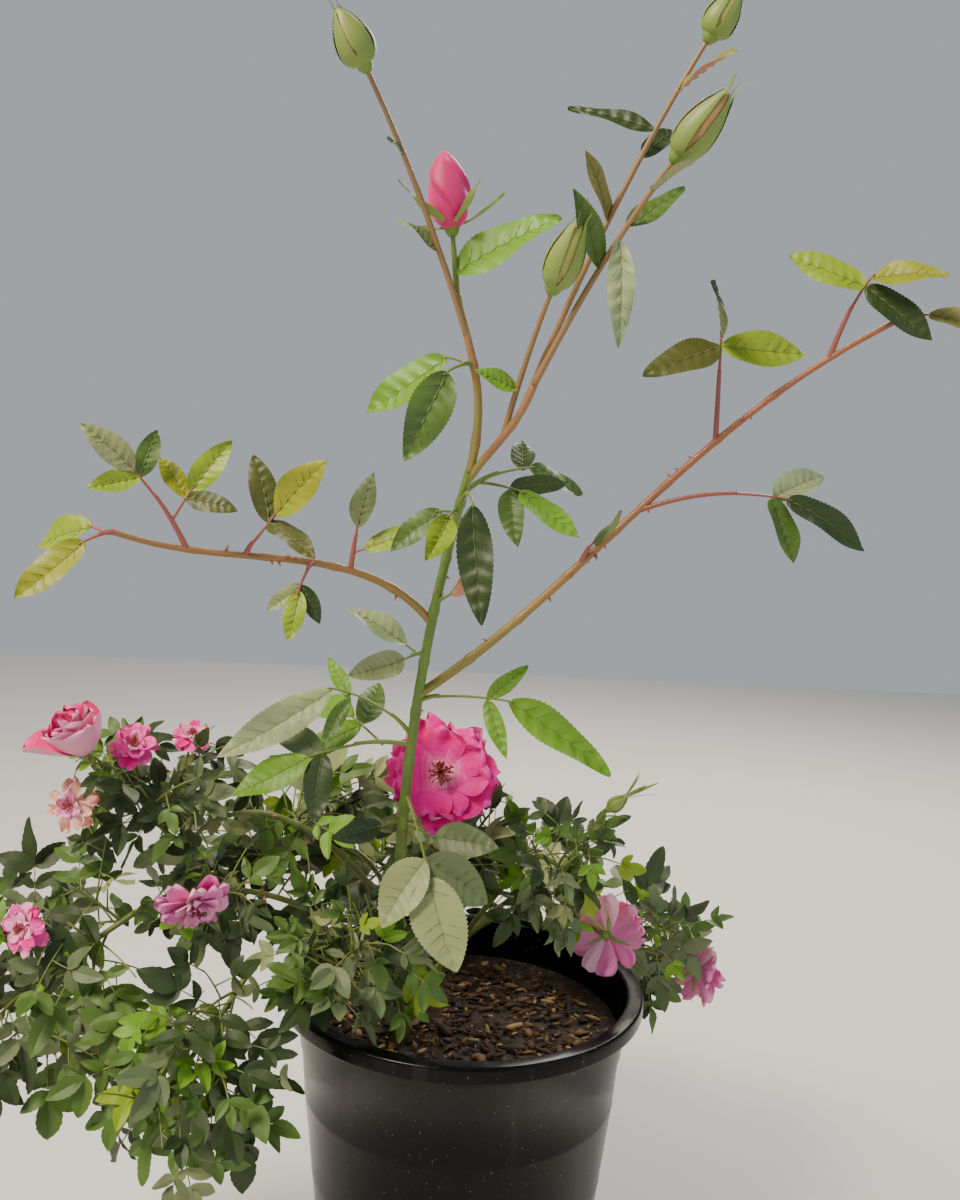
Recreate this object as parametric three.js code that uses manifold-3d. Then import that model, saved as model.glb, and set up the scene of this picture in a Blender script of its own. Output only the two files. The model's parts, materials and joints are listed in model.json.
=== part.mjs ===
// Rose bush in its black nursery pot.
// Millimetres, +Z up, origin at the middle of the pot's flat underside.
// +X is the viewer's right and -Y is toward the viewer, the side the tall canes lean to.

import * as THREE from "three";
import { mergeVertices } from "three/addons/utils/BufferGeometryUtils.js";
import Module from "manifold-3d";

const wasm = await Module();
wasm.setup();

// Pot: a round tapered shell with a turned-over lip and one moulded step below it
const potHeight = 280;
const potRimRadius = 140;
const potWallTopRadius = 130;
const potBaseRadius = 99;
const potWallThickness = 3;
const potFloorThickness = 4;
const potLipDepth = 13;
const potLipThickness = 3;
const potLipRound = 2.5;
const potStepDrop = 46;
const potStepSize = 1.2;
const potFootRound = 4;
const potSides = 28;

// Potting mix: a solid plug that fills the pot to a little below the rim
const soilTop = 245;
const soilFlatRadius = 96;
const soilEdgeRise = 4;

// Gaps and joints
const jointGap = 0.3;
const soilGap = 0.4;

// Limbs: cross-section and flare
const limbSides = 6;
const twigSides = 3;
const limbStationLength = 38;
const twigStationLength = 60;
const flareHeight = 9;
const flareGain = 0.9;
const footDepth = 12;
const fuseTolerance = 0.35;
const footWidth = 60;
const trunkStationLength = 16;

// Canes with their own course: start, two bends and end, with the radius at each end
const tallCanes = {
  main_cane: { from: [-45, -28, soilTop - footDepth], bendA: [-56, -84, 398], bendB: [-42, -145, 547],
    to: [-9, -236, 676], base: 4.4, tip: 2.6 },
  top_left_cane: { on: "main_cane", at: 1, bendA: [1, -251, 719], bendB: [-12, -259, 740],
    to: [-19, -262, 768], base: 2.5, tip: 1.9 },
  top_right_cane: { on: "main_cane", at: 0.985, bendA: [2, -247, 690], bendB: [16, -259, 700],
    to: [23, -270, 722], base: 2.3, tip: 1.9 },
  right_arching_cane: { on: "main_cane", at: 0.66, bendA: [62, -153, 604], bendB: [128, -165, 716],
    to: [238, -184, 775], base: 3.1, tip: 1.6 },
  left_arching_cane: { on: "main_cane", at: 0.775, bendA: [-71, -192, 637], bendB: [-143, -225, 613],
    to: [-197, -259, 636], base: 2.7, tip: 1.5 },
};

// Crown: the short woody stub on the soil that the low canes leave from
const crownStem = { at: [-30, 12], radius: 13, height: 36, topRadius: 9, waistRadius: 11, waistHeight: 14,
  sides: 10 };

// Low canes: the height where each leaves the crown, its end, and how far it arches up
const lowCanes = {
  low_left_outer_cane: { leaves: 258, to: [-236, -72, 352], arch: 58, base: 3.0, tip: 1.6 },
  low_left_bloom_cane: { leaves: 276, to: [-196, -62, 408], arch: 74, base: 3.0, tip: 1.6 },
  low_left_front_cane: { leaves: 270, to: [-150, -100, 322], arch: 64, base: 2.8, tip: 1.6 },
  low_left_back_cane: { leaves: 264, to: [-112, 50, 360], arch: 50, base: 2.8, tip: 1.6 },
  low_back_left_cane: { leaves: 258, to: [-60, 86, 348], arch: 46, base: 2.8, tip: 1.6 },
  low_back_cane: { leaves: 266, to: [16, 92, 338], arch: 50, base: 2.8, tip: 1.6 },
  low_back_right_cane: { leaves: 258, to: [80, 72, 322], arch: 44, base: 2.6, tip: 1.5 },
  low_right_cane: { leaves: 270, to: [86, 4, 334], arch: 40, base: 2.6, tip: 1.5 },
  right_hip_cane: { leaves: 259, to: [48, -52, 398], arch: 14, base: 2.6, tip: 1.5 },
  big_bloom_cane: { leaves: 268, to: [-16, -52, 380], arch: 10, base: 2.8, tip: 1.8 },
  low_front_cane: { leaves: 254, to: [-84, -66, 316], arch: 12, base: 2.6, tip: 1.5 },
};

// Flowers, each with its middle, the way it faces and its radius
const flowerShapes = {
  bloom: { depth: 0.55, wave: 0.07, spokes: 10,
    profile: [[0, -1], [0.5, -0.8], [0.96, 0.1], [0.9, 0.8], [0, 0.4]] },
  cup: { depth: 1.5, wave: 0.06, spokes: 10,
    profile: [[0, -1], [0.6, -0.75], [1, 0.2], [0.85, 1], [0, 0.7]] },
  bud: { depth: 3.2, wave: 0, spokes: 6,
    profile: [[0, -1], [0.7, -0.75], [1, -0.1], [0.6, 0.55], [0, 1]] },
};

// Low masses: where each sits, its half sizes, its number of twigs, leaf length and seed
const lowMasses = {
  low_left_outer_mass: { on: "low_left_outer_cane", centre: [-298, -88, 306], size: [92, 84, 118],
    twigs: 12, leaf: 60, seed: 11,
    flowers: [{ kind: "bloom", at: [-300, -122, 356], faces: [-0.3, -0.8, 0.3], radius: 19 }] },
  low_left_bloom_mass: { on: "low_left_bloom_cane", centre: [-232, -58, 442], size: [84, 82, 58],
    twigs: 9, leaf: 50, seed: 23,
    flowers: [
      { kind: "cup", at: [-268, -115, 494], faces: [-0.35, -0.3, 0.85], radius: 27 },
      { kind: "bloom", at: [-236, -82, 478], faces: [0.2, -0.6, 0.6], radius: 19 },
      { kind: "bloom", at: [-206, -40, 476], faces: [0.2, -0.5, 0.8], radius: 17 },
      { kind: "bloom", at: [-272, -112, 440], faces: [-0.2, -0.9, 0.1], radius: 21 },
    ] },
  low_left_front_mass: { on: "low_left_front_cane", centre: [-188, -142, 268], size: [90, 66, 98],
    twigs: 11, leaf: 54, seed: 37, flowers: [] },
  low_left_back_mass: { on: "low_left_back_cane", centre: [-182, 66, 346], size: [100, 84, 84],
    twigs: 9, leaf: 60, seed: 41, flowers: [] },
  low_back_left_mass: { on: "low_back_left_cane", centre: [-80, 146, 330], size: [88, 86, 84],
    twigs: 9, leaf: 60, seed: 53, flowers: [] },
  low_back_mass: { on: "low_back_cane", centre: [38, 158, 298], size: [86, 84, 88],
    twigs: 9, leaf: 60, seed: 70, flowers: [] },
  low_back_right_mass: { on: "low_back_right_cane", centre: [144, 112, 272], size: [80, 78, 80],
    twigs: 10, leaf: 58, seed: 71, flowers: [] },
  low_right_mass: { on: "low_right_cane", centre: [138, 4, 314], size: [92, 56, 54],
    twigs: 8, leaf: 42, seed: 83,
    flowers: [
      { kind: "bloom", at: [113, -14, 326], faces: [0.6, 0.7, -0.3], radius: 33 },
      { kind: "bloom", at: [190, 10, 290], faces: [0.85, 0.35, -0.2], radius: 29 },
    ] },
  right_hip_mass: { on: "right_hip_cane", centre: [64, -58, 392], size: [62, 48, 68],
    twigs: 6, leaf: 40, seed: 97,
    flowers: [{ kind: "bud", at: [104, -68, 446], faces: [0.7, -0.1, 0.6], radius: 5 }] },
  big_bloom_mass: { on: "big_bloom_cane", centre: [0, -30, 400], size: [70, 62, 64],
    twigs: 8, leaf: 46, seed: 101,
    flowers: [{ kind: "bloom", at: [-22, -76, 464], faces: [0.05, -0.93, 0.3], radius: 43 }] },
  low_front_mass: { on: "low_front_cane", centre: [-78, -100, 336], size: [84, 62, 70],
    twigs: 12, leaf: 44, seed: 113, flowers: [] },
  low_centre_left_mass: { on: "low_left_bloom_cane", at: 0.55, centre: [-112, 2, 412],
    size: [76, 76, 60], twigs: 9, leaf: 52, seed: 127, flowers: [] },
  low_left_middle_mass: { on: "low_left_outer_cane", at: 0.66, centre: [-176, -92, 366],
    size: [66, 58, 56], twigs: 8, leaf: 46, seed: 131,
    flowers: [{ kind: "bloom", at: [-182, -116, 372], faces: [0.3, -0.6, -0.5], radius: 28 }] },
};

// Upper sprays: where each leaves its cane, how far it reaches, its leaves and its seed.
// leaves counts leaves, pairs the side leaflets of each, none for a single blade. leaf is the length
// of its end blade, width a blade's width in lengths, and side a side leaflet's length in end blades.
const upperSprays = {
  front_spray: { on: "main_cane", at: 0.48, reach: [8, -13, -15], leaves: 1, pairs: 1, leaf: 62,
    droop: 0.3, width: 0.58, seed: 3 },
  front_left_spray: { on: "main_cane", at: 0.43, reach: [-10, -10, 2], leaves: 1, pairs: 0, leaf: 38,
    droop: 0, seed: 5 },
  front_right_spray: { on: "main_cane", at: 0.43, reach: [15, -6, -4], leaves: 2, pairs: 0, leaf: 46,
    droop: -0.3, width: 0.5, seed: 7 },
  left_cluster_high: { on: "main_cane", at: 0.58, reach: [-14, -3, 15], leaves: 1, pairs: 1, leaf: 84,
    droop: 0.85, width: 0.28, side: 0.45, seed: 17 },
  left_cluster_low: { on: "main_cane", at: 0.565, reach: [-36, -12, 2], leaves: 2, pairs: 1, leaf: 54,
    droop: 0.25, seed: 13 },
  right_compound_leaf: { on: "main_cane", at: 0.64, reach: [14, -3, 5], leaves: 1, pairs: 1, leaf: 78,
    droop: 0.4, width: 0.3, side: 0.5, seed: 19 },
  fork_leaves: { on: "main_cane", at: 0.72, reach: [-8, -9, 0], leaves: 2, pairs: 0, leaf: 42,
    droop: 0, seed: 28 },
  fork_right_leaves: { on: "main_cane", at: 0.8, reach: [6, -9, 6], leaves: 1, pairs: 0, leaf: 36,
    droop: -0.3, seed: 31 },
  hanging_leaf: { on: "main_cane", at: 0.95, reach: [4, -14, 8], leaves: 1, pairs: 0, leaf: 66,
    droop: 1.9, width: 0.3, seed: 43 },
  node_right_leaves: { on: "main_cane", at: 0.97, reach: [19, 10, 12], leaves: 2, pairs: 1, leaf: 42,
    droop: 0.4, seed: 47 },
  node_left_leaves: { on: "main_cane", at: 0.94, reach: [-3, -9, 1], leaves: 2, pairs: 0, leaf: 36,
    droop: 0.5, seed: 59 },
  top_left_leaves: { on: "top_left_cane", at: 0.56, reach: [-6, -6, 0], leaves: 2, pairs: 0, leaf: 54,
    droop: 0.75, seed: 61 },
  left_cane_up_leaves: { on: "left_arching_cane", at: 0.64, reach: [5, -4, 8], leaves: 1, pairs: 1,
    leaf: 48, droop: 0, seed: 73 },
  left_cane_low_leaves: { on: "left_arching_cane", at: 0.44, reach: [-2, -8, -3], leaves: 1, pairs: 1,
    leaf: 30, droop: 0.8, seed: 79 },
  left_cane_inner_leaves: { on: "left_arching_cane", at: 0.32, reach: [3, -5, 22], leaves: 2, pairs: 0,
    leaf: 34, droop: 0, seed: 89 },
  left_cane_shoot: { on: "left_arching_cane", at: 0.8, reach: [-16, -9, 30], leaves: 2, pairs: 1,
    leaf: 36, droop: 0.1, seed: 103 },
  left_cane_tip_leaves: { on: "left_arching_cane", at: 1, reach: [-7, -4, -1], leaves: 2, pairs: 0,
    leaf: 46, droop: 0.35, seed: 107 },
  right_cane_inner_leaves: { on: "right_arching_cane", at: 0.36, reach: [5, -7, 12], leaves: 2, pairs: 0,
    leaf: 34, droop: 0.2, seed: 109 },
  right_cane_low_shoot: { on: "right_arching_cane", at: 0.49, reach: [58, -14, 14], leaves: 1, pairs: 1,
    leaf: 54, droop: 0.3, seed: 137 },
  right_cane_middle_shoot: { on: "right_arching_cane", at: 0.66, reach: [-2, -9, 42], leaves: 1, pairs: 1,
    leaf: 48, droop: 0.6, side: 1.1, seed: 139 },
  right_cane_top_shoot: { on: "right_arching_cane", at: 0.88, reach: [9, -8, 30], leaves: 1, pairs: 1,
    leaf: 44, droop: 0.65, side: 1.1, seed: 149 },
  right_cane_tip_leaves: { on: "right_arching_cane", at: 1, reach: [8, -4, 3], leaves: 2, pairs: 0,
    leaf: 42, droop: 0.2, seed: 151 },
};

// Flowering tops: stems with a bud at the end, one leaf that heads its own way from leafAt, and small
// narrow leaves from there on
const floweringTops = {
  pink_bud_top: { on: "top_left_cane", at: 1, reach: [-4, 0, 34], bud: { length: 40, radius: 12 },
    leaves: 1, leaf: 62, seed: 157, heading: [0.78, -0.3, 0.5] },
  left_green_bud_top: { on: "top_left_cane", at: 0.69, reach: [-55, -46, 125],
    bud: { length: 27, radius: 9 }, leaves: 2, leaf: 22, seed: 163, heading: [-0.6, -0.2, 0.5] },
  right_low_bud_top: { on: "top_right_cane", at: 0.5, reach: [22, -34, 76],
    bud: { length: 37, radius: 9 }, leaves: 1, leaf: 26, seed: 167, heading: [-0.6, -0.3, 0.2] },
  right_middle_bud_top: { on: "top_right_cane", at: 1, reach: [62, -44, 108],
    bud: { length: 36, radius: 9 }, leaves: 4, leaf: 52, seed: 173, heading: [0.1, -0.1, -0.9],
    leafAt: 0.6, width: 0.26 },
  right_high_bud_top: { on: "top_right_cane", at: 0.78, reach: [82, -32, 182],
    bud: { length: 24, radius: 8 }, leaves: 4, leaf: 46, seed: 179, heading: [-0.9, 0.1, 0.3],
    leafAt: 0.72, width: 0.2 },
};

// Growing rule of the foliage
const goldenAngle = Math.PI * (3 - Math.sqrt(5));
const drawMultiplier = 48271;
const drawModulus = 2147483647;
const leafWidthShare = 0.58;
const leafThickness = 1.5;
const leafWidestAt = 0.42;
const leafThickestAt = 0.16;
const leafFold = 0.07;
const leafRoot = 0.2;
const tipRootDepth = 3;
const leafTurn = 0.35;
const sideLeafAngle = 1.05;
const twigRadius = 1.1;
const twigTipRadius = 1.0;
const stemRadius = 2.3;
const stemTipRadius = 1.9;
const leafClearance = 3;
const leafBallShare = 0.08;
const leafSampleShares = [0.2, 0.4, 0.6, 0.8, 1];
const leafShares = [0.34, 0.56, 0.78, 1];
const leafDroop = 0.6;
const midribShare = 0.3;
const midribPairShare = 0.35;
const sideLeafShare = 0.82;
const narrowLeafWidth = 0.3;
const upperLeafWidth = 0.42;
const shootTurn = 0.5;
const stemArch = 0.1;
const twigArch = 0.08;
const topLeafShare = 0.3;
const stemReach = 0.45;
const twigSamples = 8;
const ballSpacing = 4;
const spaceSlack = 1.15;
const soilInsideMargin = 14;
const firstBendShare = 0.3;
const secondBendShare = 0.75;
const stemBendShare = 0.4;
const twigReach = 0.8;
const twigLead = 0.2;
const firstTwigShare = 0.12;
const lastTwigShare = 0.92;
const twigTestStart = 0.4;
const twigClearance = 1;
const twigSeedStep = 1009;
const leafInside = 0.7;
const leafLeast = 0.85;
const leafVariety = 0.3;
const twigLeafTurn = 0.9;
const leafSampleSide = 0.6;
const nearLight = 0.9;
const midribSag = 0.3;
const endLeafShare = 0.5;
const narrowLeafAngle = 0.8;
const budSeat = 0.45;
const flowerSeat = 0.25;
const leafSpacing = 0.5;
const potClearance = 5;
const groundClearance = 8;

// Colours of the plain materials
const looks = {
  pot: { color: 0x17181a, roughness: 0.42 },
  soil: { color: 0x2e2118, roughness: 0.95 },
  bark: { color: 0x6b5a3a, roughness: 0.8 },
  cane: { color: 0x66762f, roughness: 0.55 },
  leaf: { color: 0x4c6b33, roughness: 0.55 },
  youngLeaf: { color: 0x6f9a2c, roughness: 0.5 },
  budTop: { color: 0x86a545, roughness: 0.5 },
};

const up = new THREE.Vector3(0, 0, 1);
const rightward = new THREE.Vector3(1, 0, 0);
const lightward = new THREE.Vector3(0.12, -0.8, 0.58).normalize();
const toVector = (numbers) => new THREE.Vector3(...numbers);

// A three.js geometry as a closed solid
function toSolid(geometry) {
  const bare = geometry.clone();
  bare.deleteAttribute("normal");
  bare.deleteAttribute("uv");
  const welded = mergeVertices(bare);
  return new wasm.Manifold(new wasm.Mesh({
    numProp: 3,
    vertProperties: new Float32Array(welded.attributes.position.array),
    triVerts: new Uint32Array(welded.index.array),
  }));
}

// The largest piece of a solid: loose scraps and sealed hollows are left behind
function mainPiece(solid) {
  return solid.decompose().reduce((best, piece) => (piece.volume() > best.volume() ? piece : best));
}

// A closed solid as a named mesh with a plain material
function toMesh(name, solid, look) {
  const { vertProperties, triVerts } = solid.getMesh();
  const geometry = new THREE.BufferGeometry();
  geometry.setAttribute("position", new THREE.BufferAttribute(vertProperties, 3));
  geometry.setIndex(new THREE.BufferAttribute(triVerts, 1));
  geometry.computeVertexNormals();
  const mesh = new THREE.Mesh(geometry, new THREE.MeshStandardMaterial({ ...look, metalness: 0 }));
  mesh.name = name;
  return mesh;
}

// A closed cylinder bent along a curve, its radius given by a function of the share of the way.
// The overhang lengthens its far end.
function taperedSolid(curve, radiusAt, sides, stations, overhang = 0) {
  const geometry = new THREE.CylinderGeometry(1, 1, 1, sides, stations);
  const position = geometry.attributes.position;
  const frames = curve.computeFrenetFrames(stations);
  const corner = new THREE.Vector3();
  for (let index = 0; index < position.count; index += 1) {
    corner.fromBufferAttribute(position, index);
    const station = Math.round((corner.y + 0.5) * stations);
    const share = station / stations;
    const radius = radiusAt(share);
    const middle = curve.getPoint(share);
    middle.addScaledVector(frames.normals[station], corner.z * radius);
    middle.addScaledVector(frames.binormals[station], corner.x * radius);
    middle.addScaledVector(frames.tangents[station], station === stations ? overhang : 0);
    position.setXYZ(index, middle.x, middle.y, middle.z);
  }
  return toSolid(geometry);
}

// A profile of radius and height pairs turned about the upright axis
function turnedSolid(profile, sides) {
  const points = profile.map(([radius, height]) => new THREE.Vector2(radius, height));
  const geometry = new THREE.LatheGeometry(points, sides);
  geometry.rotateX(Math.PI / 2);
  return toSolid(geometry);
}

const limbs = {};

// The course of a limb and its radius at any share of the way
function addLimb(name, curve, base, tip, flare, stationLength) {
  const length = curve.getLength();
  const radiusAt = (share) =>
    base + (tip - base) * share + flare * base * Math.exp((footDepth - share * length) / flareHeight);
  limbs[name] = { curve, length, radiusAt, stations: Math.ceil(length / stationLength) };
}

function addTallCanes() {
  for (const [name, cane] of Object.entries(tallCanes)) {
    const start = cane.on ? limbs[cane.on].curve.getPointAt(cane.at) : toVector(cane.from);
    const curve = new THREE.CubicBezierCurve3(start, toVector(cane.bendA), toVector(cane.bendB),
      toVector(cane.to));
    const isTrunk = !cane.on;
    addLimb(name, curve, cane.base, cane.tip, isTrunk ? flareGain : 0,
      isTrunk ? trunkStationLength : limbStationLength);
  }
}

function addLowCanes() {
  for (const [name, cane] of Object.entries(lowCanes)) {
    const start = new THREE.Vector3(...crownStem.at, cane.leaves);
    const end = toVector(cane.to);
    const bendA = start.clone().lerp(end, firstBendShare).addScaledVector(up, cane.arch);
    const bendB = start.clone().lerp(end, secondBendShare).addScaledVector(up, cane.arch);
    const curve = new THREE.CubicBezierCurve3(start, bendA, bendB, end);
    addLimb(name, curve, cane.base, cane.tip, 0, limbStationLength);
  }
}

// A limb as a solid, or the slightly larger one that its neighbours are cut back by
function limbSolid(name, gap = 0) {
  const { curve, radiusAt, stations } = limbs[name];
  const extra = gap / Math.cos(Math.PI / limbSides);
  return taperedSolid(curve, (share) => radiusAt(share) + extra, limbSides, stations, gap);
}

function cutClearOf(solid, names) {
  return mainPiece(names.reduce((rest, name) => rest.subtract(limbSolid(name, jointGap)), solid));
}

// Crown stub on the soil, slightly waisted, and the same grown by a gap
function crownSolid(gap = 0) {
  const { at, radius, height, topRadius, waistRadius, waistHeight, sides } = crownStem;
  const foot = soilTop + jointGap - gap;
  const top = soilTop + height + gap;
  const solid = turnedSolid([
    [0, foot],
    [radius + gap, foot],
    [waistRadius + gap, soilTop + waistHeight],
    [topRadius + gap, top],
    [0, top],
  ], sides);
  return solid.translate([...at, 0]);
}

// What stands above the soil, cut flat at its surface
function aboveSoil(solid) {
  const block = new THREE.BoxGeometry(footWidth, footWidth, footWidth);
  block.translate(tallCanes.main_cane.from[0], tallCanes.main_cane.from[1],
    soilTop + jointGap - footWidth / 2);
  return solid.subtract(toSolid(block));
}

// Everything grown so far, as balls that later twigs and leaves keep clear of
const balls = [];

function addBalls(owner, points, radius) {
  points.forEach((point) => balls.push({ owner, point, radius }));
}

function addLimbBalls() {
  for (const [name, limb] of Object.entries(limbs)) {
    const count = Math.ceil(limb.length / ballSpacing);
    for (let index = 0; index <= count; index += 1) {
      const share = index / count;
      addBalls(name, [limb.curve.getPoint(share)], limb.radiusAt(share));
    }
  }
}

// Whether a point is too near the pot, the soil or the ground
function isNearPot(point) {
  const distance = Math.hypot(point.x, point.y);
  const isOverSoil = distance < soilFlatRadius + soilInsideMargin && point.z > soilTop + potClearance;
  const isOutside = distance > potRimRadius + potClearance || point.z > potHeight + potClearance;
  return point.z < groundClearance || !(isOverSoil || isOutside);
}

function isClear(owner, points, clearance) {
  return points.every((point) => !isNearPot(point) && balls.every((ball) =>
    ball.owner === owner || ball.point.distanceTo(point) > ball.radius + clearance));
}

// Seeded numbers from 0 to 1, the same on every run
function seededDraw(seed) {
  let state = seed * drawMultiplier;
  return () => {
    state = (state * drawMultiplier) % drawModulus;
    return state / drawModulus;
  };
}

function isInSpace(space, point) {
  if (!space) {
    return true;
  }
  const [x, y, z] = space.centre;
  const [a, b, c] = space.size;
  return ((point.x - x) / a) ** 2 + ((point.y - y) / b) ** 2 + ((point.z - z) / c) ** 2 < spaceSlack;
}

// Points spread over a leaf, for keeping it clear of its neighbours
function leafPoints(leaf) {
  const points = [];
  for (const along of leafSampleShares) {
    const halfWidth = leaf.length * leaf.width * (1 - Math.abs(along - leafWidestAt)) / 2;
    for (const side of [-leafSampleSide, 0, leafSampleSide]) {
      points.push(leaf.root.clone().addScaledVector(leaf.heading, along * leaf.length)
        .addScaledVector(leaf.across, side * halfWidth));
    }
  }
  return points;
}

function curvePoints(curve, fromShare) {
  const points = [];
  for (let index = 0; index <= twigSamples; index += 1) {
    points.push(curve.getPoint(fromShare + (1 - fromShare) * index / twigSamples));
  }
  return points;
}

// Straight lengths that a twig's solid is made of
function stationsOf(curve) {
  return Math.ceil(curve.getLength() / twigStationLength);
}

// A point on the middle line of a twig's solid
function pointOn(curve, share) {
  const stations = stationsOf(curve);
  const index = Math.min(Math.floor(share * stations), stations - 1);
  return curve.getPoint(index / stations)
    .lerp(curve.getPoint((index + 1) / stations), share * stations - index);
}

// Where the leaf at a twig's tip is rooted, a little inside it
function tipRoot(curve) {
  return pointOn(curve, 1 - tipRootDepth / curve.getLength());
}

function addTwig(node, curve, base, tip) {
  node.twigs.push({ curve, base, tip });
  addBalls(node.name, curvePoints(curve, 0), base);
}

// A leaf from a root point, hanging by its droop, its face turned to the light and rolled a little
function addLeaf(node, draw, root, toward, length, droop, width = leafWidthShare) {
  const roll = (draw() * 2 - 1) * leafTurn;
  const heading = toward.clone().normalize().addScaledVector(up, -droop).normalize();
  const faces = Math.abs(heading.dot(lightward)) > nearLight ? rightward : lightward;
  const across = faces.clone().cross(heading).normalize();
  const through = heading.clone().cross(across);
  across.multiplyScalar(Math.cos(roll)).addScaledVector(through, Math.sin(roll)).normalize();
  through.copy(heading).cross(across);
  const leaf = { root, heading, across, through, length, width };
  const points = leafPoints(leaf);
  const middle = points[Math.floor(points.length / 2)];
  const isApart = node.leaves.every((other) => other.middle.distanceTo(middle) > leafSpacing * length);
  const fits = points.every((point) => isInSpace(node.space, point));
  if (isApart && fits && isClear(node.name, points, leafClearance)) {
    node.leaves.push({ ...leaf, middle });
    addBalls(node.name, points, length * leafBallShare);
  }
}

// A direction at right angles to a course: turn 0 is to its side, a quarter turn is toward the light
function sideways(tangent, turn) {
  const side = tangent.clone().cross(lightward).normalize();
  const above = side.clone().cross(tangent);
  return side.multiplyScalar(Math.cos(turn)).addScaledVector(above, Math.sin(turn));
}

// A course turned away from itself by an angle, to the side that the turn names
function leaning(tangent, turn, angle) {
  return tangent.clone().multiplyScalar(Math.cos(angle))
    .addScaledVector(sideways(tangent, turn), Math.sin(angle));
}

// A compound leaf: a midrib with one leaflet at its end and pairs along its sides
function addCompoundLeaf(node, draw, root, toward, spec) {
  const { pairs, leaf, droop, width = upperLeafWidth, side = sideLeafShare } = spec;
  const length = leaf * (midribShare + midribPairShare * pairs);
  const heading = toward.clone().normalize();
  const end = root.clone().addScaledVector(heading, length)
    .addScaledVector(up, -droop * length * midribSag);
  const bend = root.clone().addScaledVector(heading, length / 2);
  const midrib = new THREE.QuadraticBezierCurve3(root, bend, end);
  if (!isClear(node.name, curvePoints(midrib, twigTestStart), twigRadius + twigClearance)) {
    return;
  }
  addTwig(node, midrib, twigRadius, twigTipRadius);
  addLeaf(node, draw, tipRoot(midrib), midrib.getTangent(1), leaf, droop, width);
  for (let pair = 1; pair <= pairs; pair += 1) {
    const share = pair / (pairs + endLeafShare);
    for (const turn of [0, Math.PI]) {
      const out = leaning(midrib.getTangent(share), turn, sideLeafAngle);
      addLeaf(node, draw, pointOn(midrib, share), out, leaf * side, droop * side, width);
    }
  }
}

// Compound leaves along a stem, turning from side to side, the last one at its end
function addStemLeaves(node, draw, stem, spec) {
  for (let index = 0; index < spec.leaves; index += 1) {
    const share = (index + 1) / spec.leaves;
    const tangent = stem.getTangent(share);
    const turn = index * Math.PI + (draw() * 2 - 1) * shootTurn;
    const toward = share === 1 ? tangent : leaning(tangent, turn, sideLeafAngle);
    const root = share === 1 ? tipRoot(stem) : pointOn(stem, share);
    addCompoundLeaf(node, draw, root, toward, spec);
  }
}

function newNode(name, space) {
  return { name, space, twigs: [], leaves: [], flowers: [] };
}

function stemFrom(spec) {
  const start = limbs[spec.on].curve.getPoint(spec.at);
  const end = start.clone().add(toVector(spec.reach));
  const bend = start.clone().lerp(end, 0.5).addScaledVector(up, start.distanceTo(end) * stemArch);
  return new THREE.QuadraticBezierCurve3(start, bend, end);
}

function growSpray(name, spec) {
  const node = newNode(name);
  const draw = seededDraw(spec.seed);
  const stem = stemFrom(spec);
  addTwig(node, stem, stemRadius, stemTipRadius);
  addStemLeaves(node, draw, stem, spec);
  return node;
}

function growFloweringTop(name, spec) {
  const node = newNode(name);
  const draw = seededDraw(spec.seed);
  const stem = stemFrom(spec);
  const facing = stem.getTangent(1);
  addTwig(node, stem, stemRadius, stemTipRadius);
  const at = stem.getPoint(1).addScaledVector(facing, spec.bud.length * budSeat);
  node.flowers.push({ kind: "bud", at, facing, ...spec.bud });
  const { leafAt = topLeafShare, width = upperLeafWidth } = spec;
  addLeaf(node, draw, pointOn(stem, leafAt), toVector(spec.heading), spec.leaf, 0, width);
  for (let index = 1; index < spec.leaves; index += 1) {
    const share = topLeafShare + (1 - topLeafShare) * index / spec.leaves;
    const tangent = stem.getTangent(share);
    const out = leaning(tangent, index * goldenAngle, narrowLeafAngle);
    addLeaf(node, draw, pointOn(stem, share), out, spec.leaf * sideLeafShare, 0, narrowLeafWidth);
  }
  return node;
}

// A direction of an even spread over a ball
function spreadDirection(index, count) {
  const height = 1 - (2 * index + 1) / count;
  const reach = Math.sqrt(1 - height * height);
  const turn = index * goldenAngle;
  return new THREE.Vector3(Math.cos(turn) * reach, Math.sin(turn) * reach, height);
}

// A twig from a stem to a goal, leaving the stem a little before the nearest place
function twigToward(stem, goal) {
  const start = stem.getPoint(0);
  const axis = stem.getPoint(1).sub(start);
  const nearest = goal.clone().sub(start).dot(axis) / axis.lengthSq();
  const foot = pointOn(stem, THREE.MathUtils.clamp(nearest - twigLead, firstTwigShare, lastTwigShare));
  const bend = foot.clone().lerp(goal, 0.5).addScaledVector(up, foot.distanceTo(goal) * twigArch);
  return new THREE.QuadraticBezierCurve3(foot, bend, goal);
}

function addFlower(node, stem, flower) {
  const facing = toVector(flower.faces).normalize();
  const at = toVector(flower.at);
  const back = at.clone().addScaledVector(facing, -flower.radius * flowerSeat);
  const foot = twigToward(stem, back).v0;
  const bend = back.clone().addScaledVector(facing, -foot.distanceTo(back) * stemBendShare);
  addTwig(node, new THREE.QuadraticBezierCurve3(foot, bend, back), twigRadius, twigRadius);
  node.flowers.push({ kind: flower.kind, at, facing, radius: flower.radius });
  addBalls(`${node.name} flower`, [at], flower.radius);
}

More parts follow.
